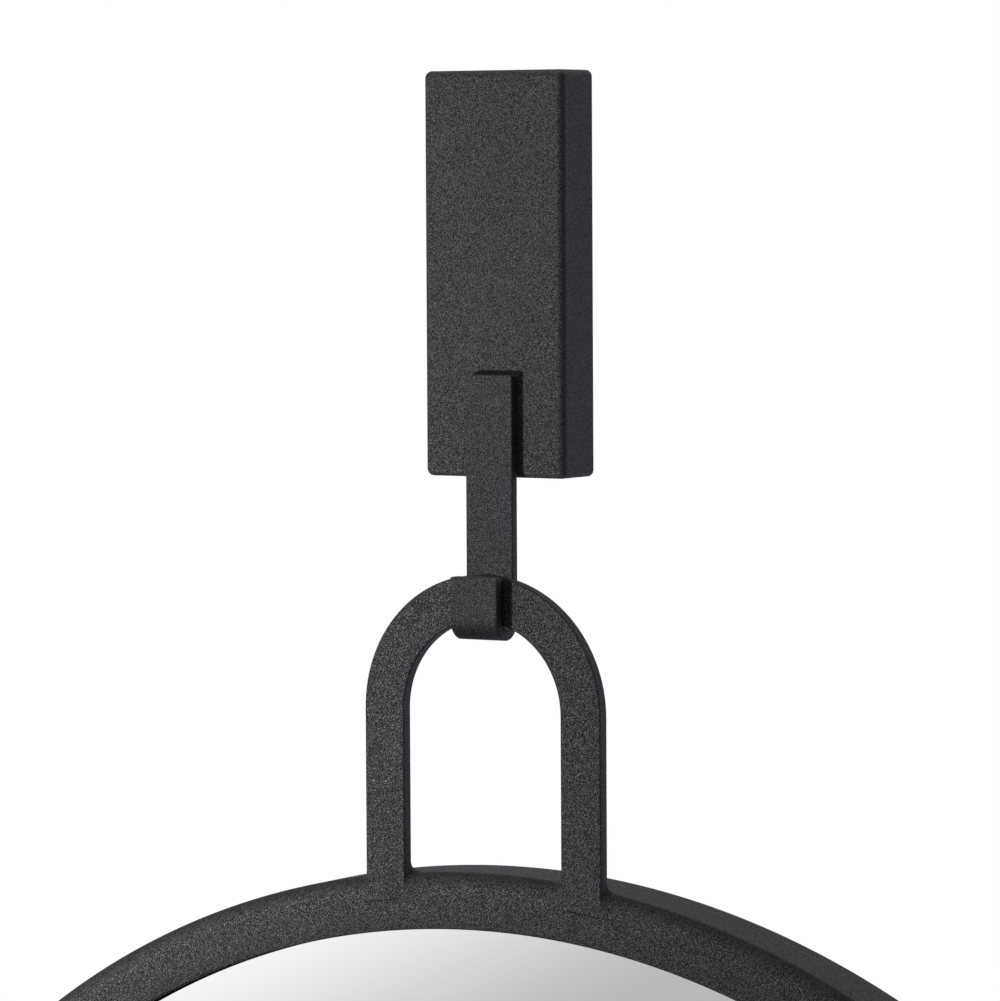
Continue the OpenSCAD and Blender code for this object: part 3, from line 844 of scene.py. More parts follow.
class GeometryTree:
    """A geometry node tree with named inputs, run once on starting points."""

    def __init__(self, name: str, points: Sequence[Place], edges: Sequence[Edge] = ()) -> None:
        """Makes the tree with its geometry sockets, and the mesh that goes into it.

        Args:
            name: The name of the tree and of the piece that it makes.
            points: The starting points.
            edges: The edges between them.
        """
        self.name = name
        self.tree = bpy.data.node_groups.new(name, "GeometryNodeTree")
        for way in ("OUTPUT", "INPUT"):
            self.tree.interface.new_socket("Geometry", in_out=way, socket_type=GEOMETRY)
        self.values: dict[str, object] = {}
        self.wire = Wiring(self.tree)
        self.given = self.wire.node("NodeGroupInput").outputs
        self.start = bpy.data.meshes.new(f"{name}_start")
        self.start.from_pydata(points, edges, [])

    def inputs(self, **values: float | bpy.types.Object) -> list[Socket]:
        """Adds named inputs.

        Args:
            values: What the modifier sets each of them to.

        Returns:
            The inputs' sockets inside the tree.
        """
        for label, value in values.items():
            kind = "NodeSocketInt" if isinstance(value, int) else NUMBER
            if isinstance(value, bpy.types.Object):
                kind = "NodeSocketObject"
            socket = self.tree.interface.new_socket(label, in_out="INPUT", socket_type=kind)
            self.values[socket.identifier] = value
        return [self.given[label] for label in values]

    def run(self, geometry: Socket, material: bpy.types.Material) -> bpy.types.Object:
        """Ends the tree in real geometry with its finish, and keeps it as a plain mesh.

        Args:
            geometry: What the tree has made.
            material: The finish.

        Returns:
            The piece, with no modifier left on it.
        """
        real = self.wire.result("GeometryNodeRealizeInstances", {0: geometry})
        inputs = {"Geometry": real, "Material": material}
        coated = self.wire.result("GeometryNodeSetMaterial", inputs)
        self.wire.node("NodeGroupOutput", {"Geometry": coated})
        piece = add_piece(self.name, self.start)
        modifier = piece.modifiers.new("shape", "NODES")
        modifier.node_group = self.tree
        for identifier, value in self.values.items():
            modifier[identifier] = value
        piece.update_tag()
        keep_result(piece, modifier)
        return piece


# Sub-assemblies


@dataclass
class OvalFrame:
    """The frame: a flat face, a rounded front edge and an outer wall."""

    oval: Oval
    front: float = -26.55 * MM
    depth: float = 23.5 * MM
    face: float = 18.0 * MM
    face_middle: float = 0.7
    metal: float = 2.0 * MM
    edge_radius: float = 4.0 * MM
    shoulder: float = 8.0 * MM
    lip_radius: float = 0.5 * MM
    rim_bevel: float = 0.3 * MM
    slack: float = 0.14 * MM
    edge_steps: int = 14
    lip_steps: int = 4
    bend_steps: int = 6
    stations: int = 720
    corner: float = 35.0

    def section(self) -> list[Pair]:
        """Lists the metal's section.

        Returns:
            Points as inset from the outer edge and depth from the front face.
        """
        outer, inner, fine = self.edge_radius, self.edge_radius - self.metal, self.lip_radius
        points = [(self.slack, self.depth - self.rim_bevel), (self.slack, self.depth / 2)]
        for turn in quarter(self.edge_steps):
            inset = self.shoulder * (1 - math.cos(turn))
            points.append((max(inset, self.slack), outer * (1 - math.sin(turn))))
        points.append((self.face * self.face_middle, 0.0))
        for turn in quarter(self.lip_steps):
            inset = self.face - fine + fine * math.sin(turn)
            points.append((inset, fine - fine * math.cos(turn)))
        points.append((self.face, self.metal))
        for turn in quarter(self.bend_steps):
            points.append((outer - inner * math.sin(turn), outer - inner * math.cos(turn)))
        return [*points, (self.metal, self.depth), (self.slack + self.rim_bevel, self.depth)]

    def build(self, palette: Palette) -> None:
        """Sweeps the section round the oval.

        Args:
            palette: The finishes.
        """
        points = [(-inset, depth, 0.0) for inset, depth in self.section()]
        edges = [(i, (i + 1) % len(points)) for i in range(len(points))]
        tree = GeometryTree("oval_frame_sweep", points, edges)
        wire = tree.wire
        end_offset, end_radius, side_offset, side_radius, side_sine, stations = tree.inputs(
            end_offset=self.oval.end_offset,
            end_radius=self.oval.end_radius,
            side_offset=self.oval.side_offset,
            side_radius=self.oval.side_radius,
            side_sine=self.oval.side_sine,
            stations=self.stations,
        )
        unit = {"Resolution": stations, "Radius": 1.0}
        circle = wire.result("GeometryNodeCurvePrimitiveCircle", unit, mode="RADIUS")
        across, up, _ = wire.parts(wire.result("GeometryNodeInputPosition"))
        side = wire.calc("LESS_THAN", wire.calc("ABSOLUTE", up), side_sine)
        end = wire.calc("SUBTRACT", 1.0, side)
        radius = wire.plus(wire.times(side, side_radius), wire.times(end, end_radius))
        shift_x = wire.times(wire.calc("SIGN", across), side, side_offset)
        shift_y = wire.times(wire.calc("SIGN", up), end, end_offset)
        x = wire.calc("SUBTRACT", wire.times(across, radius), shift_x)
        y = wire.plus(wire.times(up, radius), shift_y)
        spot = wire.result("ShaderNodeCombineXYZ", {"X": x, "Y": y})
        path = wire.result("GeometryNodeSetPosition", {"Geometry": circle, "Position": spot})
        path = wire.result("GeometryNodeSetCurveNormal", {"Curve": path}, mode="Z_UP")
        section = wire.result("GeometryNodeMeshToCurve", {"Mesh": tree.given["Geometry"]})
        swept = wire.result("GeometryNodeCurveToMesh", {"Curve": path, "Profile Curve": section})
        piece = tree.run(swept, palette.coat)
        for vertex in piece.data.vertices:
            x, y, z = vertex.co
            vertex.co = (x, self.front + abs(z), self.oval.centre_z + y)
        mend(piece.data, self.corner)
        finish_piece(piece, Body.MIRROR, Slot.COAT, "oval_frame")


@dataclass
class HangingLoop:
    """The flat-bar loop, whose feet run down over the frame's shoulder."""

    base: OvalFrame
    thick: float = 4.2 * MM
    arch_z: float = -136.6 * MM
    inner: float = 28.6 * MM
    outer: float = 43.0 * MM
    edge: float = 0.5 * MM
    flare: float = 3.0 * MM
    sink_least: float = 0.02 * MM
    sink_slope: float = 0.6
    sink_most: float = 0.3 * MM
    middle_layers: tuple[float, ...] = (0.19, 0.27, 0.37, 0.48, 0.60, 0.74)
    edge_steps: int = 7
    flare_steps: int = 10
    arch_steps: int = 32

    def layers(self) -> list[Pair]:
        """Lists the loop's layers.

        Returns:
            Each layer's depth behind the front face, and its inset at the edges.
        """
        round_over = [
            (self.edge * (1 - math.cos(turn)), self.edge * (1 - math.sin(turn)))
            for turn in quarter(self.edge_steps)
        ]
        middle = [(self.thick * share, 0.0) for share in self.middle_layers]
        back = [(self.thick - depth, inset) for depth, inset in reversed(round_over)]
        return round_over + middle + back

    def foot_radius(self, depth: float) -> float:
        """Returns the frame's shoulder at a depth, as a distance from its end arc's centre."""
        rise = 1 - min(depth / self.base.edge_radius, 1.0)
        return self.base.oval.end_radius - self.base.shoulder * (1 - math.sqrt(1 - rise * rise))

    def half_side(self, depth: float, inset: float, radius: float, out: float) -> list[Vector]:
        """Draws the right half of one side of a layer's outline.

        Args:
            depth: The layer's depth behind the front face.
            inset: The layer's inset at the edges.
            radius: The arch's radius on this side.
            out: 1 for the outer side, -1 for the inner.

        Returns:
            The side's points, from the foot up to the top.
        """
        centre = Vector((0.0, self.base.oval.centre_z + self.base.oval.end_offset))
        foot = self.foot_radius(depth)
        fillet = self.flare + inset
        sunk = min(self.sink_most, self.sink_least + self.sink_slope * depth)
        x = radius + out * fillet
        middle = Vector((x, centre.y + math.sqrt((foot + fillet) ** 2 - x * x)))
        start = math.atan2(centre.y - middle.y, out * (centre.x - middle.x))
        start += 2 * math.pi if start < 0 else 0.0
        steps = self.flare_steps
        arc = [start + (math.pi - start) * step / steps for step in range(steps + 1)]
        line = [middle + fillet * Vector((out * math.cos(a), math.sin(a))) for a in arc]
        root = centre + (line[0] - centre).normalized() * (foot - sunk)
        arch = [
            Vector((radius * math.cos(turn), self.arch_z + radius * math.sin(turn)))
            for turn in quarter(self.arch_steps)
        ]
        return [root, *line, *arch]

    def outline(self, depth: float, inset: float) -> list[Point]:
        """Draws one layer's closed outline.

        Args:
            depth: The layer's depth behind the front face.
            inset: The layer's inset at the edges.

        Returns:
            The outline's points in order.
        """
        outer = self.half_side(depth, inset, self.outer - inset, 1.0)
        inner = self.half_side(depth, inset, self.inner + inset, -1.0)
        left_outer = [Vector((-p.x, p.y)) for p in reversed(outer[:-1])]
        left_inner = [Vector((-p.x, p.y)) for p in inner[:-1]]
        flat = outer + left_outer + left_inner + list(reversed(inner))
        return [(p.x, self.base.front + depth, p.y) for p in flat]

    def build(self, palette: Palette) -> None:
        """Joins the layers into a closed bar.

        Args:
            palette: The finishes.
        """
        shape = bmesh.new()
        rings = loft(shape, [self.outline(depth, inset) for depth, inset in self.layers()])
        caps = [shape.faces.new(rings[0]), shape.faces.new(list(reversed(rings[-1])))]
        rims = {edge for cap in caps for edge in cap.edges}
        bmesh.ops.recalc_face_normals(shape, faces=shape.faces)
        for face in shape.faces:
            face.smooth = True
        for edge in rims:
            edge.smooth = False
        bmesh.ops.triangulate(shape, faces=caps)
        piece = add_shape("hanging_loop_bar", shape, palette.coat)
        finish_piece(piece, Body.MIRROR, Slot.COAT, "hanging_loop")


@dataclass
class WeldBeads:
    """Rippled weld beads with tapered ends, along given paths."""

    name: str
    paths: list[list[Vector]]
    nodes: tuple[str, ...]
    radius: float
    pitch: float
    taper: float
    ripple: float = 0.09
    blunt_end: float = 0.1
    rings_per_ripple: float = 5.0
    sides: int = 14
    corner: float = 60.0

    def build(self, palette: Palette) -> None:
        """Sweeps a rippled bead along every path.

        Args:
            palette: The finishes.
        """
        points: list[Vector] = []
        edges: list[Edge] = []
        for path in self.paths:
            first = len(points)
            points += path
            edges += [(first + i, first + i + 1) for i in range(len(path) - 1)]
        tree = GeometryTree(self.name, points, edges)
        wire = tree.wire
        radius, pitch, ripple, taper = tree.inputs(
            radius=self.radius, ripple_pitch=self.pitch, ripple_height=self.ripple, taper=self.taper
        )
        line = wire.result("GeometryNodeMeshToCurve", {"Mesh": tree.given["Geometry"]})
        spacing = {"Curve": line, "Length": wire.calc("DIVIDE", pitch, self.rings_per_ripple)}
        even = wire.result("GeometryNodeResampleCurve", spacing, mode="LENGTH")
        along = wire.node("GeometryNodeSplineParameter").outputs["Length"]
        total = wire.node("GeometryNodeSplineLength").outputs["Length"]
        turns = wire.times(wire.calc("DIVIDE", along, pitch), math.tau)
        wave = wire.plus(wire.times(wire.calc("SINE", turns), ripple), 1.0)
        near_end = wire.calc("MINIMUM", along, wire.calc("SUBTRACT", total, along))
        share = wire.calc("DIVIDE", near_end, taper, clamp=True)
        full = wire.plus(wire.times(share, 1.0 - self.blunt_end), self.blunt_end)
        unit = {"Resolution": self.sides, "Radius": 1.0}
        bead = {
            "Curve": even,
            "Profile Curve": wire.result("GeometryNodeCurvePrimitiveCircle", unit, mode="RADIUS"),
            "Scale": wire.times(wave, wire.calc("SQRT", full), radius),
            "Fill Caps": True,
        }
        piece = tree.run(wire.result("GeometryNodeCurveToMesh", bead), palette.coat)
        mend(piece.data, self.corner)
        finish_piece(piece, Body.MIRROR, Slot.COAT, *self.nodes)


@dataclass
class PanHeadScrews:
    """Pan-head screws with a cross recess, set in given places."""

    name: str
    node: str
    places: list[Vector]
    head_radius: float = 3.6 * MM
    head_height: float = 2.1 * MM
    head: tuple[Pair, ...] = (
        (0.0, 1.0),
        (0.35, 0.985),
        (0.62, 0.90),
        (0.82, 0.74),
        (0.94, 0.50),
        (0.99, 0.24),
        (1.0, 0.06),
        (0.98, 0.0),
    )
    shank_radius: float = 1.75 * MM
    shank: float = 6.3 * MM
    point: float = 0.6 * MM
    spokes: int = 28
    recess: float = 4.0 * MM
    recess_width: float = 0.95 * MM
    recess_depth: float = 1.3 * MM
    recess_taper: float = 0.55
    overcut: float = 0.5 * MM
    corner: float = 38.0
    seed: int = 7

    def one(self) -> bpy.types.Object:
        """Turns one screw, its seat at the origin and its head towards +Y.

        Returns:
            A screw, still without its recess.
        """
        half = [(r * self.head_radius, h * self.head_height) for r, h in self.head]
        half += [(self.shank_radius, 0.0), (self.shank_radius, self.point - self.shank)]
        half.append((0.0, -self.shank))
        turns = [math.tau * i / self.spokes for i in range(self.spokes)]
        rings = [
            [
                (radius * math.cos(turn), height, radius * math.sin(turn))
                for turn in (turns if radius else [0.0])
            ]
            for radius, height in half
        ]
        shape = bmesh.new()
        loft(shape, rings)
        bmesh.ops.recalc_face_normals(shape, faces=shape.faces)
        return add_shape(f"{self.name}_one", shape)

    def cross(self) -> bpy.types.Object:
        """Makes the tapered cross that is cut into the head.

        Returns:
            The cutter.
        """
        shape = bmesh.new()
        top, low = self.head_height + self.overcut, self.head_height - self.recess_depth
        for turn in (0.0, math.pi / 2):
            for vertex in bmesh.ops.create_cube(shape, size=1.0)["verts"]:
                deep = vertex.co.y < 0
                slim = self.recess_taper if deep else 1.0
                x = vertex.co.x * self.recess * slim
                z = vertex.co.z * self.recess_width * (0.5 + slim / 2)
                vertex.co = (
                    x * math.cos(turn) - z * math.sin(turn),
                    low if deep else top,
                    x * math.sin(turn) + z * math.cos(turn),
                )
        bmesh.ops.recalc_face_normals(shape, faces=shape.faces)
        return add_shape(f"{self.name}_cross", shape)

    def build(self, palette: Palette) -> None:
        """Cuts the recess and repeats the screw, each turned at random.

        Args:
            palette: The finishes.
        """
        single, cutter = self.one(), self.cross()
        cut = single.modifiers.new("recess", "BOOLEAN")
        cut.operation = "DIFFERENCE"
        cut.solver = "EXACT"
        cut.object = cutter
        cut.use_self = True
        keep_result(single, cut)
        smooth_by_angle(single.data, self.corner)
        tree = GeometryTree(self.name, self.places)
        wire = tree.wire
        screw, seed = tree.inputs(screw=single, seed=self.seed)
        draw = {3: math.pi / 2, "Seed": seed}
        turn = wire.node("FunctionNodeRandomValue", draw, data_type="FLOAT").outputs[1]
        about = wire.result("ShaderNodeCombineXYZ", {"Y": turn})
        placed = {
            "Points": wire.result("GeometryNodeMeshToPoints", {"Mesh": tree.given["Geometry"]}),
            "Instance": wire.node("GeometryNodeObjectInfo", {"Object": screw}).outputs["Geometry"],
            "Rotation": wire.result("FunctionNodeEulerToRotation", {0: about}),
        }
        piece = tree.run(wire.result("GeometryNodeInstanceOnPoints", placed), palette.steel)
        for spare in (single, cutter):
            bpy.data.objects.remove(spare)
        finish_piece(piece, Body.MIRROR, Slot.STEEL, self.node)


@dataclass
class MirrorPane:
    """The 4 mm mirror: silvered face, ground edge and painted back.

    The silvering is on the glass's back, so the visible field lies deeper than the glass's
    front, which the rim keeps where the foam strip presses on it.
    """

    oval: Oval
    inset: float = 4.5 * MM
    rim: float = 14.5 * MM
    front: float = -23.55 * MM
    silver: float = -22.5 * MM
    back: float = -19.55 * MM
    arris: float = 0.4 * MM
    stations: int = 360
    corner: float = 30.0

    def build(self, palette: Palette) -> None:
        """Builds the pane.

        Args:
            palette: The finishes.
        """
        edge = [
            (self.rim, self.silver),
            (self.rim, self.front),
            (self.inset + self.arris, self.front),
            (self.inset, self.front + self.arris),
            (self.inset, self.back - self.arris),
            (self.inset + self.arris, self.back),
        ]
        turns = [2 * math.pi * (i + 0.5) / self.stations for i in range(self.stations)]
        points = [[self.oval.at(turn, inset, y) for turn in turns] for inset, y in edge]
        shape = bmesh.new()
        rings = loft(shape, points, slot=1)
        shape.faces.new(rings[0]).material_index = 0
        shape.faces.new(rings[-1]).material_index = 2
        bmesh.ops.recalc_face_normals(shape, faces=shape.faces)
        finishes = palette.silver, palette.glass_edge, palette.paint
        piece = add_shape("mirror_pane", shape, *finishes)
        smooth_by_angle(piece.data, self.corner)
        finish_piece(piece, Body.MIRROR, Slot.MIRROR, "mirror_glass")


@dataclass
class WallBracket:
    """The cover, the strap hook and the plate and fasteners behind them."""

    coated: tuple[str, ...] = ("bracket_cover", "strap_hook")
    plate: tuple[str, ...] = ("wall_plate", "weld_nuts", "cover_screws")
    fixings: tuple[str, ...] = ("hook_studs", "hook_doubler", "stud_washers", "stud_nuts")

    def build(self, palette: Palette) -> None:
        """Dresses the bracket in its coat and its plating."""
        dress(palette.coat, Body.BRACKET, *self.coated)
        dress(palette.steel, Body.BRACKET, *self.plate, *self.fixings)


@dataclass
class HookCradle:
    """The nylon shoe that the loop sits in."""

    node: str = "hook_cradle"

    def build(self, palette: Palette) -> None:
        """Dresses the cradle in its nylon."""
        dress(palette.nylon, Body.CRADLE, self.node)


@dataclass
class HangingMirror:
    """All that hangs on the hook: loop, frame, glass, board and fixings."""

    oval: Oval = field(default_factory=Oval)
    foot_from: float = 30.2 * MM
    foot_to: float = 41.4 * MM
    foot_y: float = -22.4 * MM
    foot_steps: int = 8
    tab_degrees: tuple[int, ...] = (68, 112, 248, 292, 14, -14, 166, 194)
    seam: float = 19.0 * MM
    seam_inset: float = 2.5 * MM
    seam_y: float = -5.1 * MM
    seam_steps: int = 5
    screw_inset: float = 16.0 * MM
    tab_seat: float = -11.05 * MM
    bumper_seat: float = -7.55 * MM
    bumper_x: float = 225.0 * MM
    bumper_z: float = 300.0 * MM

    def build(self, palette: Palette) -> None:
        """Builds and dresses the hanging pieces.

        Args:
            palette: The finishes.
        """
        dress(palette.coat, Body.MIRROR, "retaining_tabs")
        dress(palette.steel, Body.MIRROR, "bumper_washers")
        dress(palette.rubber, Body.MIRROR, "glass_blocks", "wall_bumpers")
        dress(palette.foam, Body.MIRROR, "glazing_strip", "adhesive_pads")
        dress(palette.board, Body.MIRROR, "backing_board")
        base = OvalFrame(self.oval)
        pieces = base, HangingLoop(base), MirrorPane(self.oval)
        for piece in (*pieces, *self.welds(), *self.screws()):
            piece.build(palette)

    def welds(self) -> tuple[WeldBeads, WeldBeads]:
        """Lays out the beads behind the loop's feet and along the tabs' feet.

        Returns:
            The loop's beads and the tabs' beads.
        """
        top = Vector((0.0, 0.0, self.oval.centre_z + self.oval.end_offset))
        reach, steps, around = self.oval.end_radius, self.foot_steps, self.seam_steps
        spots = [
            self.foot_from + (self.foot_to - self.foot_from) * i / steps for i in range(steps + 1)
        ]
        feet = [
            [top + Vector((side * x, self.foot_y, math.sqrt(reach * reach - x * x))) for x in spots]
            for side in (-1.0, 1.0)
        ]
        seams: list[list[Vector]] = []
        for degrees in self.tab_degrees:
            middle = math.radians(degrees)
            upright = abs(math.sin(middle)) > self.oval.side_sine
            half = self.seam / 2 / (reach if upright else self.oval.side_radius)
            turns = [middle - half + half * i / around for i in range(2 * around + 1)]
            seams.append([self.oval.at(turn, self.seam_inset, self.seam_y) for turn in turns])
        loop_size = {"radius": 2.1 * MM, "pitch": 1.7 * MM, "taper": 2.4 * MM}
        tab_size = {"radius": 0.85 * MM, "pitch": 0.95 * MM, "taper": 1.2 * MM}
        return (
            WeldBeads("loop_weld_beads", feet, ("loop_welds",), **loop_size),
            WeldBeads("tab_weld_beads", seams, (), **tab_size),
        )

    def screws(self) -> tuple[PanHeadScrews, PanHeadScrews]:
        """Lays out the screws.

        Returns:
            The tabs' screws and the bumpers' screws.
        """
        turns = [math.radians(degrees) for degrees in self.tab_degrees]
        tabs = [self.oval.at(turn, self.screw_inset, self.tab_seat) for turn in turns]
        bumpers = [
            Vector((x, self.bumper_seat, self.oval.centre_z + z))
            for x in (-self.bumper_x, self.bumper_x)
            for z in (-self.bumper_z, self.bumper_z)
        ]
        longer = {"shank": 9.8 * MM, "seed": 11}
        return (
            PanHeadScrews("tab_screw_set", "tab_screws", tabs),
            PanHeadScrews("bumper_screw_set", "bumper_screws", bumpers, **longer),
        )


# Studio


@dataclass(frozen=True)
class PhotoCamera:
    """The camera at the photograph's viewing angle."""

    azimuth: float = 31.28
    elevation: float = 3.36
    roll: float = -0.30
    focal_pixels: float = 5581.98
    distance: float = 1741.07 * MM
    target: Point = (0.0, -18.0 * MM, 0.0)
    target_pixel: Pair = (492.99, 274.2)
    image: Pair = (1000.0, 1001.0)
    sensor: float = 36.0
    clip: Pair = (0.01, 100.0)

    def build(self) -> None:
        """Makes the scene's camera."""
        az, el, ro = (math.radians(v) for v in (self.azimuth, self.elevation, self.roll))
        ahead = Vector((-math.sin(az) * math.cos(el), math.cos(az) * math.cos(el), -math.sin(el)))
        right = Vector((math.cos(az), math.sin(az), 0.0))
        above = Vector((-math.sin(az) * math.sin(el), math.cos(az) * math.sin(el), math.cos(el)))
        turned_right = right * math.cos(ro) + above * math.sin(ro)
        turned_up = above * math.cos(ro) - right * math.sin(ro)
        pixels = zip(self.target_pixel, self.image)
        across, down = ((spot - side / 2) / self.focal_pixels for spot, side in pixels)
        ray = ahead + turned_right * across - turned_up * down
        data = bpy.data.cameras.new("photo_camera")
        data.sensor_fit = "HORIZONTAL"
        data.sensor_width = self.sensor
        data.lens = self.focal_pixels * self.sensor / self.image[0]
        data.clip_start, data.clip_end = self.clip
        camera = bpy.data.objects.new("photo_camera", data)
        place = Matrix((turned_right, turned_up, -ahead)).transposed().to_4x4()
        place.translation = Vector(self.target) - ray * self.distance
        camera.matrix_world = place
        bpy.context.scene.collection.objects.link(camera)
        bpy.context.scene.camera = camera


@dataclass(frozen=True)
class Lamp:
    """A lamp that points at the object and lights only some of its pieces."""

    name: str
    place: Point
    aim: Point
    size: float
    watts: float
    lit: tuple[str, ...] = ()
    unlit: tuple[str, ...] = ()

    def data(self) -> bpy.types.Light:
        """Makes the lamp's own data.

        Returns:
            A square area of its size.
        """
        data = bpy.data.lights.new(self.name, "AREA")
        data.shape = "SQUARE"
        data.size = self.size
        return data

    def build(self) -> None:
        """Makes the lamp, hidden from the camera."""
        data = self.data()
        data.energy = self.watts
        lamp = bpy.data.objects.new(self.name, data)
        heading = Vector(self.aim) - Vector(self.place)
        turn = heading.to_track_quat("-Z", "Y").to_matrix().to_4x4()
        turn.translation = Vector(self.place)
        lamp.matrix_world = turn
        lamp.visible_camera = False
        bpy.context.scene.collection.objects.link(lamp)
        self.flag(lamp)

    def flag(self, lamp: bpy.types.Object) -> None:
        """Keeps the lamp's light off some pieces, as a studio flag does.

        Args:
            lamp: The lamp.
        """
        chosen = bpy.data.collections.new(f"{self.name}_flags")
        for names, state in ((self.lit, "INCLUDE"), (self.unlit, "EXCLUDE")):
            for name in names:
                chosen.objects.link(bpy.data.objects[name])
                chosen.collection_objects[-1].light_linking.link_state = state
        if chosen.objects:
            lamp.light_linking.receiver_collection = chosen


@dataclass(frozen=True)
class WashLamp(Lamp):
    """A soft-edged spot lamp that makes the light fall off to the right."""

    cone: float = 15.0

    def data(self) -> bpy.types.Light:
        """Makes the lamp's own data.

        Returns:
            A wide soft spot.
        """
        data = bpy.data.lights.new(self.name, "SPOT")
        data.shadow_soft_size = self.size / 2
        data.spot_size = math.radians(self.cone)
        data.spot_blend = 1.0
        return data


@dataclass(frozen=True)
class StudioRoom:
    """The white surroundings: soft behind the object, dim in front of it.

    The mirror shows a panel in front, whose tone follows a slope across the room.
    """

    behind: Pair = (0.05, 0.50)
    below: Pair = (-0.6, 0.0)
    above: Pair = (0.15, 0.6)
    front_fill: float = 0.25
    back_fill: float = 1.08
    low_fill: float = 0.50
    front_sheen: float = 0.12
    back_sheen: float = 0.56
    fill_tint: Colour = (0.92, 0.96, 1.12)
    white: Colour = (1.0, 1.0, 1.0)
    panel_x: float = -0.55
    panel_z: float = -0.145
    slope_x: float = -10.6
    slope_z: float = 18.6
    panel: Pair = (-0.70, 0.30)
    panel_dark: float = 0.505
    panel_light: float = 0.985
    turn_from: float = -1.2
    turn_to: float = -5.2
    rise: float = 0.36
    far: float = -15.0
    far_rise: float = 0.12

    def build(self) -> None:
        """Builds the world."""
        world = bpy.data.worlds.new("studio_room")
        world.use_nodes = True
        world.node_tree.nodes.clear()
        wire = Wiring(world.node_tree)
        x, y, z = wire.parts(wire.place("Generated"))
        behind = wire.remap(y, *self.behind, smooth=True)
        sheen = wire.remap(behind, 0.0, 1.0, self.front_sheen, self.back_sheen)
        above = wire.remap(z, *self.below, self.low_fill, 1.0, smooth=True)
        fill = wire.times(wire.remap(behind, 0.0, 1.0, self.front_fill, self.back_fill), above)
        mirrored = wire.remap(behind, 0.0, 1.0, self.panel_tone(wire, x, z), 1.0)
        path = wire.node("ShaderNodeLightPath").outputs
        glossy = path["Is Glossy Ray"]
        sharp = wire.times(glossy, path["Is Singular Ray"])
        seen = wire.calc("MAXIMUM", path["Is Camera Ray"], path["Is Transmission Ray"])
        strength = wire.remap(glossy, 0.0, 1.0, fill, sheen)
        strength = wire.remap(sharp, 0.0, 1.0, strength, mirrored)
        strength = wire.remap(seen, 0.0, 1.0, strength, 1.0)
        high = wire.remap(z, *self.above, smooth=True)
        plain = wire.calc("MAXIMUM", wire.calc("MAXIMUM", sharp, seen), high)
        shine = {"Color": wire.blend(plain, self.fill_tint, self.white), "Strength": strength}
        lit = wire.result("ShaderNodeBackground", shine)
        wire.node("ShaderNodeOutputWorld", {"Surface": lit})
        bpy.context.scene.world = world

    def panel_tone(self, wire: Wiring, x: Socket, z: Socket) -> Socket:
        """Wires what the mirror shows of the room in front.

        Args:
            wire: The world's wiring.
            x: The direction's share to the right.
            z: The direction's share upwards.

        Returns:
            The brightness in that direction.
        """
        slope = wire.plus(
            wire.times(wire.plus(x, -self.panel_x), self.slope_x),
            wire.times(wire.plus(z, -self.panel_z), self.slope_z),
        )
        tones = self.panel_dark, self.panel_light
        panel = wire.remap(slope, *self.panel, *tones, smooth=True)
        aside = wire.remap(slope, self.turn_from, self.turn_to, 0.0, self.rise, smooth=True)
        further = wire.remap(slope, self.turn_to, self.far, 0.0, self.far_rise, smooth=True)
        return wire.plus(panel, wire.plus(aside, further))


@dataclass(frozen=True)
class StudioFloor:
    """A large pale floor that fades into the white backdrop, clear from below."""

    level: float = -1.45
    reach: float = 14.0
    squares: int = 8
    near: float = 1.0
    far: float = 3.2
    pale: Colour = (0.86, 0.86, 0.86)

    def material(self) -> bpy.types.Material:
        """Builds the floor's material.

        Returns:
            Pale near the object, white further off and clear from below.
        """
        made = bpy.data.materials.new("studio_floor")
        made.use_nodes = True
        made.node_tree.nodes.clear()
        wire = Wiring(made.node_tree)
        floor = wire.result("ShaderNodeBsdfDiffuse", {"Color": opaque(self.pale)})
        white = wire.result("ShaderNodeEmission", {"Strength": 1.0})
        flat = wire.multiplied(wire.place(), (1.0, 1.0, 0.0))
        length = wire.node("ShaderNodeVectorMath", {0: flat}, operation="LENGTH").outputs["Value"]
        away = wire.remap(length, self.near, self.far, smooth=True)
        seen = wire.node("ShaderNodeLightPath").outputs["Is Camera Ray"]
        fade = {0: wire.times(away, seen), 1: floor, 2: white}
        below = {
            0: wire.node("ShaderNodeNewGeometry").outputs["Backfacing"],
            1: wire.result("ShaderNodeMixShader", fade),
            2: wire.result("ShaderNodeBsdfTransparent"),
        }
        surface = wire.result("ShaderNodeMixShader", below)
        wire.node("ShaderNodeOutputMaterial", {"Surface": surface})
        return made

    def build(self) -> None:
        """Builds the floor, which shows in no reflection."""
        shape = bmesh.new()
        count = self.squares
        bmesh.ops.create_grid(shape, x_segments=count, y_segments=count, size=self.reach)
        for vertex in shape.verts:
            vertex.co.z = self.level
        floor = add_shape("studio_floor", shape, self.material())
        floor.visible_glossy = False
        floor.visible_diffuse = False


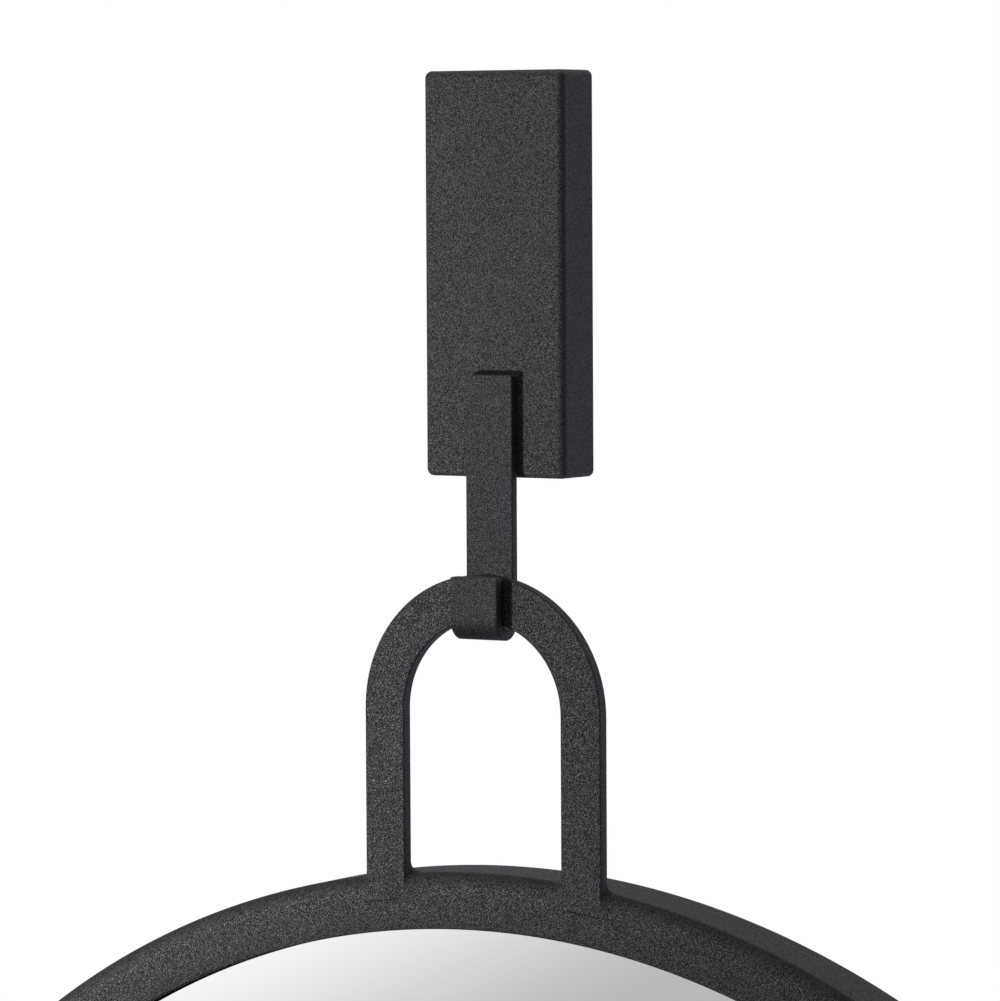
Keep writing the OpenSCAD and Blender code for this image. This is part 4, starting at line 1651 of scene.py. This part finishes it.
@dataclass(frozen=True)
class Studio:
    """Camera, lamps, surroundings and floor."""

    left: Point = (-1.50, -1.95, 0.02)
    high: Point = (-1.50, -1.95, 1.35)
    low: Point = (-1.42, -1.82, -0.90)
    overhead: Point = (-0.25, -0.32, 2.2)
    ceiling: Point = (0.0, 0.2, 2.6)

    def lamps(self) -> list[Lamp]:
        """Lists the lamps.

        Returns:
            The key lamps, and the lamps of the hook, of the cover and of the floor.
        """
        own = ("mirror_pane", "bracket_cover", "strap_hook")
        hook, cover, floor = ("strap_hook",), ("bracket_cover",), ("studio_floor",)
        left, high, low, top = self.left, self.high, self.low, self.overhead
        return [
            Lamp("key_lamp", left, aim=(0.0, 0.0, -0.05), size=0.40, watts=18.5, unlit=own),
            WashLamp("key_wash", left, aim=(-0.23, 0.0, -0.15), size=0.30, watts=148.0, unlit=own),
            Lamp("hook_lamp", high, aim=(0.0, 0.0, -0.10), size=0.40, watts=76.0, lit=hook),
            Lamp("cover_lamp", low, aim=(0.0, 0.0, 0.0), size=0.30, watts=21.5, lit=cover),
            WashLamp("cover_wash", low, aim=(-0.20, 0.0, 0.02), size=0.25, watts=146.0, lit=cover),
            Lamp("cover_top_lamp", top, aim=(0.0, -0.05, 0.06), size=0.40, watts=18.0, lit=cover),
            Lamp("floor_lamp", self.ceiling, (0.0, 0.2, -1.45), size=3.0, watts=90.0, lit=floor),
        ]

    def build(self) -> None:
        """Builds the studio, once the pieces that its lamps name are there."""
        for piece in (PhotoCamera(), StudioRoom(), StudioFloor(), *self.lamps()):
            piece.build()
        bpy.context.scene.view_settings.view_transform = "Standard"


def corners(box: tuple[Vector, Vector]) -> list[list[float]]:
    """Returns a box's two corners as plain lists."""
    return [[float(v) for v in corner] for corner in box]


def main() -> None:
    """Builds the object's looks and the studio."""
    logging.basicConfig(level=logging.INFO, format="%(name)s: %(message)s")
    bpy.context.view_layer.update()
    palette = Palette()
    WallBracket().build(palette)
    HookCradle().build(palette)
    HangingMirror().build(palette)
    Studio().build()


if __name__ == "__main__":
    main()
